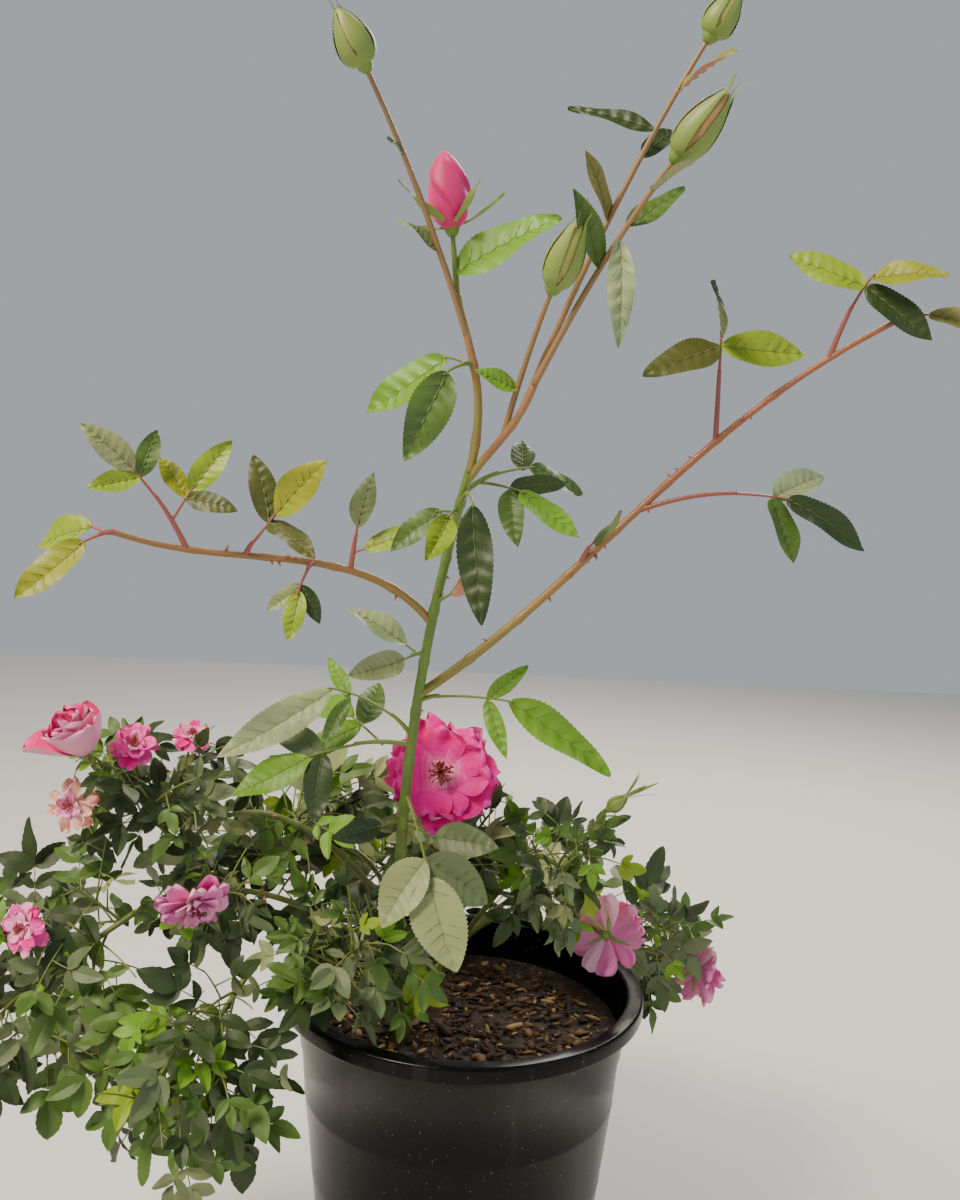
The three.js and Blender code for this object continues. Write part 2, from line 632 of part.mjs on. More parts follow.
// A mass: one stem, twigs to an even spread of goals in its space, leaves along each twig
function growMass(name, spec) {
  const node = newNode(name, spec);
  const draw = seededDraw(spec.seed);
  const limb = limbs[spec.on].curve;
  const at = spec.at ?? 1;
  const start = limb.getPoint(at);
  const centre = toVector(spec.centre);
  const end = centre.clone().lerp(start, -stemReach);
  const bend = start.clone().addScaledVector(limb.getTangent(at), start.distanceTo(end) * stemBendShare);
  const stem = new THREE.QuadraticBezierCurve3(start, bend, end);
  addTwig(node, stem, stemRadius, stemTipRadius);
  spec.flowers.forEach((flower) => addFlower(node, stem, flower));
  for (let index = 0; index < spec.twigs; index += 1) {
    const reach = twigReach + (1 - twigReach) * draw();
    const out = spreadDirection(index, spec.twigs);
    const goal = centre.clone();
    ["x", "y", "z"].forEach((axis, place) => {
      goal[axis] += out[axis] * reach * (spec.size[place] - spec.leaf * leafInside);
    });
    const twig = twigToward(stem, goal);
    if (isClear(node.name, curvePoints(twig, twigTestStart), twigRadius + twigClearance)) {
      addTwig(node, twig, twigRadius, twigTipRadius);
      addTwigLeaves(node, seededDraw(spec.seed + twigSeedStep * (index + 1)), twig, spec);
    }
  }
  return node;
}

// Leaves along a twig, from side to side, and one at its tip
function addTwigLeaves(node, draw, twig, spec) {
  for (const [index, share] of leafShares.entries()) {
    const length = spec.leaf * (leafLeast + leafVariety * draw());
    const turn = index * Math.PI + (draw() * 2 - 1) * twigLeafTurn;
    const droop = leafDroop * draw();
    const tangent = twig.getTangent(share);
    const toward = share === 1 ? tangent : leaning(tangent, turn, sideLeafAngle);
    addLeaf(node, draw, share === 1 ? tipRoot(twig) : pointOn(twig, share), toward, length, droop);
  }
}

// A leaf as a stretched octahedron, folded a little along its middle
function leafSolid(leaf) {
  const geometry = new THREE.OctahedronGeometry(1);
  const position = geometry.attributes.position;
  const corner = new THREE.Vector3();
  for (let index = 0; index < position.count; index += 1) {
    corner.fromBufferAttribute(position, index);
    const middleAlong = Math.abs(corner.z) > 0.5 ? leafThickestAt : leafWidestAt;
    const along = Math.abs(corner.x) > 0.5 ? (corner.x + 1) / 2 : middleAlong;
    const point = leaf.root.clone()
      .addScaledVector(leaf.heading, along * (leaf.length + leafRoot) - leafRoot)
      .addScaledVector(leaf.across, corner.y * leaf.length * leaf.width / 2)
      .addScaledVector(leaf.through, corner.z * leafThickness / 2
        + Math.abs(corner.y) * leaf.length * leafFold);
    position.setXYZ(index, point.x, point.y, point.z);
  }
  return toSolid(geometry);
}

// A flower as a closed turned shape with a waved edge, set to face its way
function flowerSolid(flower) {
  const shape = flowerShapes[flower.kind];
  const half = (flower.length ?? flower.radius * shape.depth) / 2;
  const profile = shape.profile.map(([radius, height]) =>
    new THREE.Vector2(radius * flower.radius, height * half));
  const geometry = new THREE.LatheGeometry(profile, shape.spokes);
  const position = geometry.attributes.position;
  const turn = new THREE.Quaternion().setFromUnitVectors(new THREE.Vector3(0, 1, 0), flower.facing);
  const corner = new THREE.Vector3();
  for (let index = 0; index < position.count; index += 1) {
    corner.fromBufferAttribute(position, index);
    const angle = Math.atan2(corner.z, corner.x);
    const wave = 1 + shape.wave * Math.cos(angle * shape.spokes / 2);
    corner.set(corner.x * wave, corner.y, corner.z * wave);
    corner.applyQuaternion(turn).add(flower.at);
    position.setXYZ(index, corner.x, corner.y, corner.z);
  }
  return toSolid(geometry);
}

// Twigs, leaves and flowers of a node fused to one solid
function fusedSolid(node) {
  const twigs = node.twigs.map(({ curve, base, tip }) => taperedSolid(curve,
    (share) => base + (tip - base) * share, twigSides,
    stationsOf(curve)));
  const pieces = [...twigs, ...node.leaves.map(leafSolid), ...node.flowers.map(flowerSolid)];
  return wasm.Manifold.union(pieces).simplify(fuseTolerance);
}

// Outside radius of the pot's wall at a height
function potWallAt(height) {
  return potBaseRadius + (potWallTopRadius - potBaseRadius) * height / potHeight;
}

function potSolid() {
  const lipFoot = potHeight - potLipDepth;
  const step = potHeight - potStepDrop;
  const inside = (height) => potWallAt(height) - potWallThickness;
  return turnedSolid([
    [0, 0],
    [potBaseRadius - potFootRound, 0],
    [potBaseRadius, potFootRound],
    [potWallAt(step) - potStepSize, step],
    [potWallAt(step), step + potStepSize],
    [potWallAt(lipFoot), lipFoot],
    [potRimRadius - potLipThickness, lipFoot],
    [potRimRadius, lipFoot + potLipRound],
    [potRimRadius, potHeight - potLipRound],
    [potRimRadius - potLipRound, potHeight],
    [inside(potHeight) + potLipRound, potHeight],
    [inside(potHeight), potHeight - potLipRound],
    [inside(potFloorThickness) - potStepSize, potFloorThickness],
    [0, potFloorThickness],
  ], potSides);
}

function soilSolid() {
  const inside = (height) => potWallAt(height) - potWallThickness - potStepSize - soilGap;
  const floor = potFloorThickness + soilGap;
  const edge = soilTop + soilEdgeRise;
  return turnedSolid([
    [0, floor],
    [inside(floor), floor],
    [inside(edge), edge],
    [soilFlatRadius, soilTop],
    [0, soilTop],
  ], potSides);
}

addTallCanes();
addLowCanes();
addLimbBalls();

const bush = new THREE.Group();
bush.name = "rose_bush_in_pot";
bush.add(toMesh("pot", potSolid(), looks.pot));
bush.add(toMesh("soil", soilSolid(), looks.soil));
bush.add(toMesh("crown_stem", crownSolid(), looks.bark));
bush.add(toMesh("main_cane", aboveSoil(limbSolid("main_cane")), looks.cane));

const finishedCanes = ["main_cane"];
for (const [name, cane] of Object.entries(tallCanes)) {
  if (cane.on) {
    bush.add(toMesh(name, cutClearOf(limbSolid(name), finishedCanes), looks.cane));
    finishedCanes.push(name);
  }
}
for (const name of Object.keys(lowCanes)) {
  const solid = limbSolid(name).subtract(crownSolid(jointGap));
  bush.add(toMesh(name, cutClearOf(solid, finishedCanes), looks.cane));
  finishedCanes.push(name);
}

const growers = [
  [floweringTops, growFloweringTop, looks.budTop],
  [upperSprays, growSpray, looks.youngLeaf],
  [lowMasses, growMass, looks.leaf],
];
for (const [specs, grow, look] of growers) {
  for (const [name, spec] of Object.entries(specs)) {
    const node = grow(name, spec);
    bush.add(toMesh(name, cutClearOf(fusedSolid(node), [spec.on]), look));
  }
}

export default bush;
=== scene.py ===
import json
import math

import bpy
import numpy as np
from mathutils import Matrix, Vector

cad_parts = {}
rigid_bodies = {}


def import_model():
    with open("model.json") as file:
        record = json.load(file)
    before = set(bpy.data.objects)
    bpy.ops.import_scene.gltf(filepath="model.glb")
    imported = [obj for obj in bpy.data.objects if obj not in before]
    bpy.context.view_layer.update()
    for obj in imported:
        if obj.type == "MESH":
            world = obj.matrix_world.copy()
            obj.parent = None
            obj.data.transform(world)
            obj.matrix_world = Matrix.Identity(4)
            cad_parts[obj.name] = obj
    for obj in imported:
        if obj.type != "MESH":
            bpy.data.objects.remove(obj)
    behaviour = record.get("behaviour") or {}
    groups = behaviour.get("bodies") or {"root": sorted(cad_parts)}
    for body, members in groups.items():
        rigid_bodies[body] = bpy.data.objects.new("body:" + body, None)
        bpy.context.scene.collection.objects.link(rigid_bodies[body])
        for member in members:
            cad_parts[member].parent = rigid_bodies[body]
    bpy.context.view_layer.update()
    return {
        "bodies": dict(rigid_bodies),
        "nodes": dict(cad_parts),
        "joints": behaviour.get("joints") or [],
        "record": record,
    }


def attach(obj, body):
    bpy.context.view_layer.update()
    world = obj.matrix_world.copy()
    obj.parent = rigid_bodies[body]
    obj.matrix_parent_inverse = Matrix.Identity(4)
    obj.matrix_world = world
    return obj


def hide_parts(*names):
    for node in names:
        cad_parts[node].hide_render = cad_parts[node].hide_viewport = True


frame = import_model()

millimetre = 0.001  # the plant grows in millimetres and its meshes are in metres


def placed(name, data):
    item = bpy.data.objects.new(name, data)
    bpy.context.collection.objects.link(item)
    return item


# Camera where the photograph was taken from, looking slightly down and a little rolled
view = {"at": (0.0, -0.9, 0.68), "pitch": 6.4, "roll": 2.5, "lens": 36.0, "sensor": 36.0, "nearest": 0.02}


def addCamera():
    data = bpy.data.cameras.new("photoCamera")
    data.lens, data.sensor_width, data.clip_start = view["lens"], view["sensor"], view["nearest"]
    camera = placed("photoCamera", data)
    turn = Matrix.Rotation(math.radians(90 - view["pitch"]), 4, "X")
    roll = Matrix.Rotation(math.radians(view["roll"]), 4, "Z")
    camera.matrix_world = Matrix.Translation(Vector(view["at"])) @ turn @ roll
    bpy.context.scene.camera = camera


# Soft studio light: a large warm key, a cool fill and a rim light from behind, each with its place, size,
# power and colour, under a pale sky
studio = {
    "lamps": {"keyLight": ((-1.15, -1.15, 2.1), 0.7, 84, "fff3dc"),
              "fillLight": ((1.8, -1.3, 1.1), 2.0, 12, "e6f0ff"),
              "rimLight": ((0.7, 1.7, 1.9), 1.1, 52, "fff6e4")},
    "target": (0.0, -0.1, 0.42), "sky": "e8eef6", "skyStrength": 0.5, "floor": "dcdad6", "floorSize": 3.0,
}


def addStudio():
    for name, (at, size, power, colour) in studio["lamps"].items():
        data = bpy.data.lights.new(name, "AREA")
        data.size, data.energy, data.color = size, power, shade(colour)[:3]
        light = placed(name, data)
        light.location = at
        light.rotation_euler = (Vector(studio["target"]) - Vector(at)).to_track_quat("-Z", "Y").to_euler()
    world = bpy.data.worlds.new("studioWorld")
    world.use_nodes = True
    setInputs(world.node_tree.nodes["Background"],
              {"Color": shade(studio["sky"]), "Strength": studio["skyStrength"]})
    bpy.context.scene.world = world
    size = studio["floorSize"]
    mesh = bpy.data.meshes.new("floor")
    corners = [(-size, -size, 0), (size, -size, 0), (size, size, 0), (-size, size, 0)]
    mesh.from_pydata(corners, [], [(0, 1, 2, 3)])
    mesh.materials.append(plainMaterial("floorPale", studio["floor"], 0.9, specular=0.2))
    placed("floor", mesh)


def channels(code):
    return [int(code[k:k + 2], 16) for k in (0, 2, 4)]


# A colour as a screen shows it, turned into light values
def shade(code):
    parts = np.array(channels(code)) / 255
    light = np.where(parts <= 0.04045, parts / 12.92, ((parts + 0.055) / 1.055) ** 2.4)
    return (*light.tolist(), 1.0)


# Colour codes at even steps from the first of a set to its last
def blended(codes, count):
    parts = np.array([channels(code) for code in codes], float)
    places = np.linspace(0, len(codes) - 1, count)
    steps = np.stack([np.interp(places, np.arange(len(codes)), column) for column in parts.T], 1)
    return [f"{red:02x}{green:02x}{blue:02x}" for red, green, blue in steps.round().astype(int)]


def setInputs(node, values):
    for name, value in values.items():
        node.inputs[name].default_value = value


scatterDepth = 0.004


# One plain finish, every value on the shader's own socket
def plainMaterial(name, colour, roughness, specular=0.5, sheen=0.0, coat=0.0, through=0.0):
    material = bpy.data.materials.new(name)
    material.use_nodes = True
    setInputs(material.node_tree.nodes["Principled BSDF"], {
        "Base Color": shade(colour), "Roughness": roughness, "Specular IOR Level": specular,
        "Sheen Weight": sheen, "Coat Weight": coat, "Subsurface Weight": through,
        "Subsurface Scale": scatterDepth})
    return material


# Faces of many closed tubes: each is stations of rings, with a pole before the first and after the last.
# The second half of a ring starts its faces one corner later, so that both sides of a thin sheet are
# split along the same diagonals and don't cut through each other
def tubeFaces(count, stations, ring):
    start = (np.arange(count) * (stations * ring + 2))[:, None, None]
    base = start + np.arange(stations - 1)[None, :, None] * ring
    here = np.arange(ring)
    following = (here + 1) % ring
    quads = np.stack([base + here, base + following, base + ring + following, base + ring + here], -1)
    quads[:, :, ring // 2:] = np.roll(quads[:, :, ring // 2:], 1, -1)
    start = start[:, 0]
    last = (stations - 1) * ring
    pole = start + stations * ring + 0 * here
    startFan = np.stack([pole, start + following, start + here], -1)
    endFan = np.stack([pole + 1, start + here + last, start + following + last], -1)
    return quads.reshape(-1, 4), np.concatenate([startFan.reshape(-1, 3), endFan.reshape(-1, 3)])


# One piece of many closed tubes, each given by its rings of corners in millimetres and the poles at its
# ends. An edge is sharp where both its corners carry the same line number above 0
def makePiece(name, tubes, materials, tones=None, sharp=None):
    rings, starts, ends = tubes
    count, stations, ring = rings.shape[:3]
    corners = np.concatenate([rings.reshape(count, -1, 3), np.stack([starts, ends], 1)], 1)
    quads, triangles = tubeFaces(count, stations, ring)
    loops = np.concatenate([quads.ravel(), triangles.ravel()]).astype(np.int32)
    totals = np.repeat([4, 3], [len(quads), len(triangles)]).astype(np.int32)
    mesh = bpy.data.meshes.new(name)
    mesh.vertices.add(corners.size // 3)
    mesh.vertices.foreach_set("co", (corners * millimetre).astype(np.float32).ravel())
    mesh.loops.add(len(loops))
    mesh.loops.foreach_set("vertex_index", loops)
    mesh.polygons.add(len(totals))
    mesh.polygons.foreach_set("loop_start", (np.cumsum(totals) - totals).astype(np.int32))
    mesh.polygons.foreach_set("loop_total", totals)
    mesh.polygons.foreach_set("use_smooth", np.ones(len(totals), bool))
    for material in materials:
        mesh.materials.append(material)
    if tones is not None:
        mesh.polygons.foreach_set("material_index", np.asarray(tones, np.int32))
    mesh.update(calc_edges=True)
    if sharp is not None:
        pairs = np.empty(len(mesh.edges) * 2, np.int32)
        mesh.edges.foreach_get("vertices", pairs)
        first, second = sharp[pairs].reshape(-1, 2).T
        mesh.edges.foreach_set("use_edge_sharp", (first > 0) & (first == second))
    piece = placed(name, mesh)
    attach(piece, "root")
    return piece


def normalised(vectors):
    return vectors / np.maximum(np.linalg.norm(vectors, axis=-1, keepdims=True), 1e-12)


def vector(numbers):
    return np.array(numbers, float)


up = vector((0, 0, 1))
rightward = vector((1, 0, 0))
lightward = normalised(vector((0.12, -0.8, 0.58)))
steep = 0.8  # a direction counts as upright where its height is more than this
fineShares = np.linspace(0, 1, 201)


# Points of Bezier curves: the control points weighted by the Bernstein polynomials
def alongCurve(curves, shares):
    curves = np.asarray(curves, float)
    degree = curves.shape[-2] - 1
    t = np.asarray(shares, float)
    weights = [math.comb(degree, k) * t ** k * (1 - t) ** (degree - k) for k in range(degree + 1)]
    return np.stack(weights, -1) @ curves


def curveSteps(curve):
    return np.linalg.norm(np.diff(alongCurve(curve, fineShares), axis=0), axis=1)


def curveLength(curve):
    return float(curveSteps(curve).sum())


# The heading of a curve, from two points close to a share of the way
def curveTangent(curve, share):
    small = 0.0001
    return normalised(alongCurve(curve, min(share + small, 1)) - alongCurve(curve, max(share - small, 0)))


# The point at a share of a curve's length
def atLength(curve, share):
    reached = np.concatenate([[0], np.cumsum(curveSteps(curve))])
    return alongCurve(curve, np.interp(share * reached[-1], reached, fineShares))


# Sizes of pot, soil and growing rule, the same as in the part's source
pot = {"height": 280, "rimRadius": 140, "wallTop": 130, "base": 99, "wall": 3, "floor": 4, "lipDepth": 13,
       "lipRound": 2.5, "stepDrop": 46, "stepSize": 1.2, "footRound": 4}
soil = {"top": 245, "flatRadius": 96, "edgeRise": 4, "gap": 0.4}
crownStem = {"at": (-30, 12), "heights": (0, 14, 36), "radii": (13, 11, 9)}

# Tall canes: the cane each leaves and its share of the way, or its foot in the soil, two bends, its end
# and the radii at both ends
tallCanes = {
    "main_cane": (None, (-45, -28, 233), (-56, -84, 398), (-42, -145, 547), (-9, -236, 676), 4.4, 2.6),
    "top_left_cane": ("main_cane", 1, (1, -251, 719), (-12, -259, 740), (-19, -262, 768), 2.5, 1.9),
    "top_right_cane": ("main_cane", 0.985, (2, -247, 690), (16, -259, 700), (23, -270, 722), 2.3, 1.9),
    "right_arching_cane": ("main_cane", 0.66, (62, -153, 604), (128, -165, 716), (238, -184, 775), 3.1, 1.6),
    "left_arching_cane": ("main_cane", 0.775, (-71, -192, 637), (-143, -225, 613), (-197, -259, 636),
                          2.7, 1.5),
}

# Low canes: the height where each leaves the crown, its end, how far it arches up and its radii
lowCanes = {
    "low_left_outer_cane": (258, (-236, -72, 352), 58, 3.0, 1.6),
    "low_left_bloom_cane": (276, (-196, -62, 408), 74, 3.0, 1.6),
    "low_left_front_cane": (270, (-150, -100, 322), 64, 2.8, 1.6),
    "low_left_back_cane": (264, (-112, 50, 360), 50, 2.8, 1.6),
    "low_back_left_cane": (258, (-60, 86, 348), 46, 2.8, 1.6),
    "low_back_cane": (266, (16, 92, 338), 50, 2.8, 1.6),
    "low_back_right_cane": (258, (80, 72, 322), 44, 2.6, 1.5),
    "low_right_cane": (270, (86, 4, 334), 40, 2.6, 1.5),
    "right_hip_cane": (259, (48, -52, 398), 14, 2.6, 1.5),
    "big_bloom_cane": (268, (-16, -52, 380), 10, 2.8, 1.8),
    "low_front_cane": (254, (-84, -66, 316), 12, 2.6, 1.5),
}

# Low masses: the cane each stands on, its share of the way, middle, half sizes, number of twigs, leaf
# length and seed, then its flowers: kind, place, the way each faces and its radius
lowMasses = {
    "low_left_outer_mass": ("low_left_outer_cane", 1, (-298, -88, 306), (92, 84, 118), 12, 60, 11,
                            ("palePink", (-300, -122, 356), (-0.3, -0.8, 0.3), 19)),
    "low_left_bloom_mass": ("low_left_bloom_cane", 1, (-232, -58, 442), (84, 82, 58), 9, 50, 23,
                            ("cup", (-268, -115, 494), (-0.35, -0.3, 0.85), 27),
                            ("pink", (-236, -82, 478), (0.2, -0.6, 0.6), 19),
                            ("palePink", (-206, -40, 476), (0.2, -0.5, 0.8), 17),
                            ("spent", (-272, -112, 440), (-0.2, -0.9, 0.1), 21)),
    "low_left_front_mass": ("low_left_front_cane", 1, (-188, -142, 268), (90, 66, 98), 11, 54, 37),
    "low_left_back_mass": ("low_left_back_cane", 1, (-182, 66, 346), (100, 84, 84), 9, 60, 41),
    "low_back_left_mass": ("low_back_left_cane", 1, (-80, 146, 330), (88, 86, 84), 9, 60, 53),
    "low_back_mass": ("low_back_cane", 1, (38, 158, 298), (86, 84, 88), 9, 60, 70),
    "low_back_right_mass": ("low_back_right_cane", 1, (144, 112, 272), (80, 78, 80), 10, 58, 71),
    "low_right_mass": ("low_right_cane", 1, (138, 4, 314), (92, 56, 54), 8, 42, 83,
                       ("palePink", (113, -14, 326), (0.6, 0.7, -0.3), 33),
                       ("lilac", (190, 10, 290), (0.85, 0.35, -0.2), 29)),
    "right_hip_mass": ("right_hip_cane", 1, (64, -58, 392), (62, 48, 68), 6, 40, 97,
                       ("hip", (104, -68, 446), (0.7, -0.1, 0.6), 5)),
    "big_bloom_mass": ("big_bloom_cane", 1, (0, -30, 400), (70, 62, 64), 8, 46, 101,
                       ("hotPink", (-22, -76, 464), (0.05, -0.93, 0.3), 43)),
    "low_front_mass": ("low_front_cane", 1, (-78, -100, 336), (84, 62, 70), 12, 44, 113),
    "low_centre_left_mass": ("low_left_bloom_cane", 0.55, (-112, 2, 412), (76, 76, 60), 9, 52, 127),
    "low_left_middle_mass": ("low_left_outer_cane", 0.66, (-176, -92, 366), (66, 58, 56), 8, 46, 131,
                             ("lilac", (-182, -116, 372), (0.3, -0.6, -0.5), 28)),
}

# Upper sprays: cane, share of the way, reach, compound leaves, leaflet pairs, leaflet length, droop, seed,
# and width and side leaflet length where they are not the usual
upperSprays = {
    "front_spray": ("main_cane", 0.48, (8, -13, -15), 1, 1, 62, 0.3, 3, 0.58),
    "front_left_spray": ("main_cane", 0.43, (-10, -10, 2), 1, 0, 38, 0, 5),
    "front_right_spray": ("main_cane", 0.43, (15, -6, -4), 2, 0, 46, -0.3, 7, 0.5),
    "left_cluster_high": ("main_cane", 0.58, (-14, -3, 15), 1, 1, 84, 0.85, 17, 0.28, 0.45),
    "left_cluster_low": ("main_cane", 0.565, (-36, -12, 2), 2, 1, 54, 0.25, 13),
    "right_compound_leaf": ("main_cane", 0.64, (14, -3, 5), 1, 1, 78, 0.4, 19, 0.3, 0.5),
    "fork_leaves": ("main_cane", 0.72, (-8, -9, 0), 2, 0, 42, 0, 28),
    "fork_right_leaves": ("main_cane", 0.8, (6, -9, 6), 1, 0, 36, -0.3, 31),
    "hanging_leaf": ("main_cane", 0.95, (4, -14, 8), 1, 0, 66, 1.9, 43, 0.3),
    "node_right_leaves": ("main_cane", 0.97, (19, 10, 12), 2, 1, 42, 0.4, 47),
    "node_left_leaves": ("main_cane", 0.94, (-3, -9, 1), 2, 0, 36, 0.5, 59),
    "top_left_leaves": ("top_left_cane", 0.56, (-6, -6, 0), 2, 0, 54, 0.75, 61),
    "left_cane_up_leaves": ("left_arching_cane", 0.64, (5, -4, 8), 1, 1, 48, 0, 73),
    "left_cane_low_leaves": ("left_arching_cane", 0.44, (-2, -8, -3), 1, 1, 30, 0.8, 79),
    "left_cane_inner_leaves": ("left_arching_cane", 0.32, (3, -5, 22), 2, 0, 34, 0, 89),
    "left_cane_shoot": ("left_arching_cane", 0.8, (-16, -9, 30), 2, 1, 36, 0.1, 103),
    "left_cane_tip_leaves": ("left_arching_cane", 1, (-7, -4, -1), 2, 0, 46, 0.35, 107),
    "right_cane_inner_leaves": ("right_arching_cane", 0.36, (5, -7, 12), 2, 0, 34, 0.2, 109),
    "right_cane_low_shoot": ("right_arching_cane", 0.49, (58, -14, 14), 1, 1, 54, 0.3, 137),
    "right_cane_middle_shoot": ("right_arching_cane", 0.66, (-2, -9, 42), 1, 1, 48, 0.6, 139, 0.42, 1.1),
    "right_cane_top_shoot": ("right_arching_cane", 0.88, (9, -8, 30), 1, 1, 44, 0.65, 149, 0.42, 1.1),
    "right_cane_tip_leaves": ("right_arching_cane", 1, (8, -4, 3), 2, 0, 42, 0.2, 151),
}

# Flowering tops: cane, share, reach, bud length and radius, leaves, leaf length, seed, heading of the
# first leaf, and its share of the way and width where they are not the usual
floweringTops = {
    "pink_bud_top": ("top_left_cane", 1, (-4, 0, 34), 40, 12, 1, 62, 157, (0.78, -0.3, 0.5)),
    "left_green_bud_top": ("top_left_cane", 0.69, (-55, -46, 125), 27, 9, 2, 22, 163, (-0.6, -0.2, 0.5)),
    "right_low_bud_top": ("top_right_cane", 0.5, (22, -34, 76), 37, 9, 1, 26, 167, (-0.6, -0.3, 0.2)),
    "right_middle_bud_top": ("top_right_cane", 1, (62, -44, 108), 36, 9, 4, 52, 173, (0.1, -0.1, -0.9),
                             0.6, 0.26),
    "right_high_bud_top": ("top_right_cane", 0.78, (82, -32, 182), 24, 8, 4, 46, 179, (-0.9, 0.1, 0.3),
                           0.72, 0.2),
}

# The growing rule: radii, lengths and clearances in millimetres, shares, and angles in radians
growing = {
    "stemRadius": (2.3, 1.9), "twigRadius": (1.1, 1.0), "stemArch": 0.1, "twigArch": 0.08, "stemReach": 0.45,
    "stemBend": 0.4, "twigReach": 0.8, "twigLead": 0.2, "firstTwig": 0.12, "lastTwig": 0.92, "twigTest": 0.4,
    "twigClearance": 1, "twigSamples": 8, "twigStation": 60, "leafWidth": 0.58, "upperWidth": 0.42,
    "widestAt": 0.42, "leafTurn": 0.35, "sideAngle": 1.05, "leafClearance": 3, "leafBall": 0.08,
    "leafSamples": (0.2, 0.4, 0.6, 0.8, 1), "sampleSide": 0.6, "leafSpacing": 0.5,
    "leafShares": (0.34, 0.56, 0.78, 1), "leafLeast": 0.85, "leafVariety": 0.3, "leafInside": 0.7,
    "twigLeafTurn": 0.9, "leafDroop": 0.6, "midrib": 0.3, "midribPair": 0.35, "midribSag": 0.3,
    "endLeaf": 0.5, "sideLeaf": 0.82, "narrowWidth": 0.3, "narrowAngle": 0.8, "shootTurn": 0.5,
    "topLeaf": 0.3, "budSeat": 0.45, "flowerSeat": 0.25, "flowerLength": 3.2, "nearLight": 0.9, "tipRoot": 3,
    "spaceSlack": 1.15, "ballSpacing": 4, "potClearance": 5, "soilInside": 14, "groundClearance": 8,
    "seedStep": 1009, "lowBends": (0.3, 0.75), "flare": 0.9, "flareHeight": 9, "footDepth": 12,
}
goldenAngle = math.pi * (3 - math.sqrt(5))
limbs = {}
mostBalls = 90000
grown = {"points": np.zeros((mostBalls, 3)), "radii": np.zeros(mostBalls),
         "owners": np.zeros(mostBalls, int), "count": 0, "names": {}}


# Seeded numbers from 0 to 1: the state is multiplied and cut to its remainder at each draw
def seededDraw(seed):
    multiplier, modulus = 48271, 2147483647
    state = [seed * multiplier]

    def draw():
        state[0] = (state[0] * multiplier) % modulus
        return state[0] / modulus

    return draw


def swing(draw, most):
    return (draw() * 2 - 1) * most


# The course of every limb, with its radius as a function of the share of the way
def addLimbs():
    for name, (parent, foot, bendA, bendB, end, base, tip) in tallCanes.items():
        start = atLength(limbs[parent]["curve"], foot) if parent else vector(foot)
        flare = 0 if parent else growing["flare"]
        addLimb(name, np.array([start, bendA, bendB, end], float), base, tip, flare)
    for name, (height, end, arch, base, tip) in lowCanes.items():
        start = vector((*crownStem["at"], height))
        bends = [start + (vector(end) - start) * share + up * arch for share in growing["lowBends"]]
        addLimb(name, np.array([start, *bends, end]), base, tip, 0)
    for name, limb in limbs.items():
        shares = np.linspace(0, 1, math.ceil(limb["length"] / growing["ballSpacing"]) + 1)
        addBalls(name, alongCurve(limb["curve"], shares), limb["radiusAt"](shares))


def addLimb(name, curve, base, tip, flare):
    length = curveLength(curve)

    def radiusAt(share):
        swelling = np.exp((growing["footDepth"] - share * length) / growing["flareHeight"])
        return base + (tip - base) * share + flare * base * swelling

    limbs[name] = {"curve": curve, "length": length, "radiusAt": radiusAt}


# Everything grown so far is kept as balls that later twigs and leaves stay clear of
def addBalls(owner, points, radius):
    new = slice(grown["count"], grown["count"] + len(points))
    grown["points"][new] = points
    grown["radii"][new] = radius
    grown["owners"][new] = grown["names"].setdefault(owner, len(grown["names"]))
    grown["count"] = new.stop


def isNearPot(points):
    distance = np.hypot(points[:, 0], points[:, 1])
    height = points[:, 2]
    margin = growing["potClearance"]
    overSoil = (distance < soil["flatRadius"] + growing["soilInside"]) & (height > soil["top"] + margin)
    outside = (distance > pot["rimRadius"] + margin) | (height > pot["height"] + margin)
    return ((height < growing["groundClearance"]) | ~(overSoil | outside)).any()


def isClear(owner, points, clearance):
    if isNearPot(points):
        return False
    places, radii, owners = (grown[key][:grown["count"]] for key in ("points", "radii", "owners"))
    centre = points.mean(axis=0)
    spread = np.linalg.norm(points - centre, axis=1).max()
    away = np.linalg.norm(places - centre, axis=1)
    near = (away <= radii + clearance + spread) & (owners != grown["names"].get(owner, -1))
    gaps = np.linalg.norm(points[:, None] - places[near][None], axis=2)
    return bool((gaps > radii[near] + clearance).all())


def isInSpace(space, points):
    if space is None:
        return True
    return bool(((((points - space[0]) / space[1]) ** 2).sum(axis=1) < growing["spaceSlack"]).all())


def twigPoints(curve, fromShare):
    return alongCurve(curve, np.linspace(fromShare, 1, growing["twigSamples"] + 1))


# A point on the straight lengths that a twig's solid is made of
def pointOn(curve, share):
    stations = math.ceil(curveLength(curve) / growing["twigStation"])
    index = min(math.floor(share * stations), stations - 1)
    start = alongCurve(curve, index / stations)
    end = alongCurve(curve, (index + 1) / stations)
    return start + (end - start) * (share * stations - index)


def tipRoot(curve):
    return pointOn(curve, 1 - growing["tipRoot"] / curveLength(curve))


def addTwig(node, curve, radii):
    node["twigs"].append(curve)
    addBalls(node["name"], twigPoints(curve, 0), radii[0])


def isTwigClear(node, curve):
    clearance = growing["twigRadius"][0] + growing["twigClearance"]
    return isClear(node["name"], twigPoints(curve, growing["twigTest"]), clearance)


# The three directions of a leaf, its face turned to the light: along it, across it and through it
def leafFrame(toward, droop, roll):
    heading = normalised(normalised(toward) - up * droop)
    faces = rightward if abs(np.dot(heading, lightward)) > growing["nearLight"] else lightward
    across = normalised(np.cross(faces, heading))
    through = np.cross(heading, across)
    across = normalised(across * math.cos(roll) + through * math.sin(roll))
    return heading, across, np.cross(heading, across)


def newLeaf(root, heading, across, through, length, width):
    return {"root": root, "heading": heading, "across": across, "through": through, "length": length,
            "width": width}


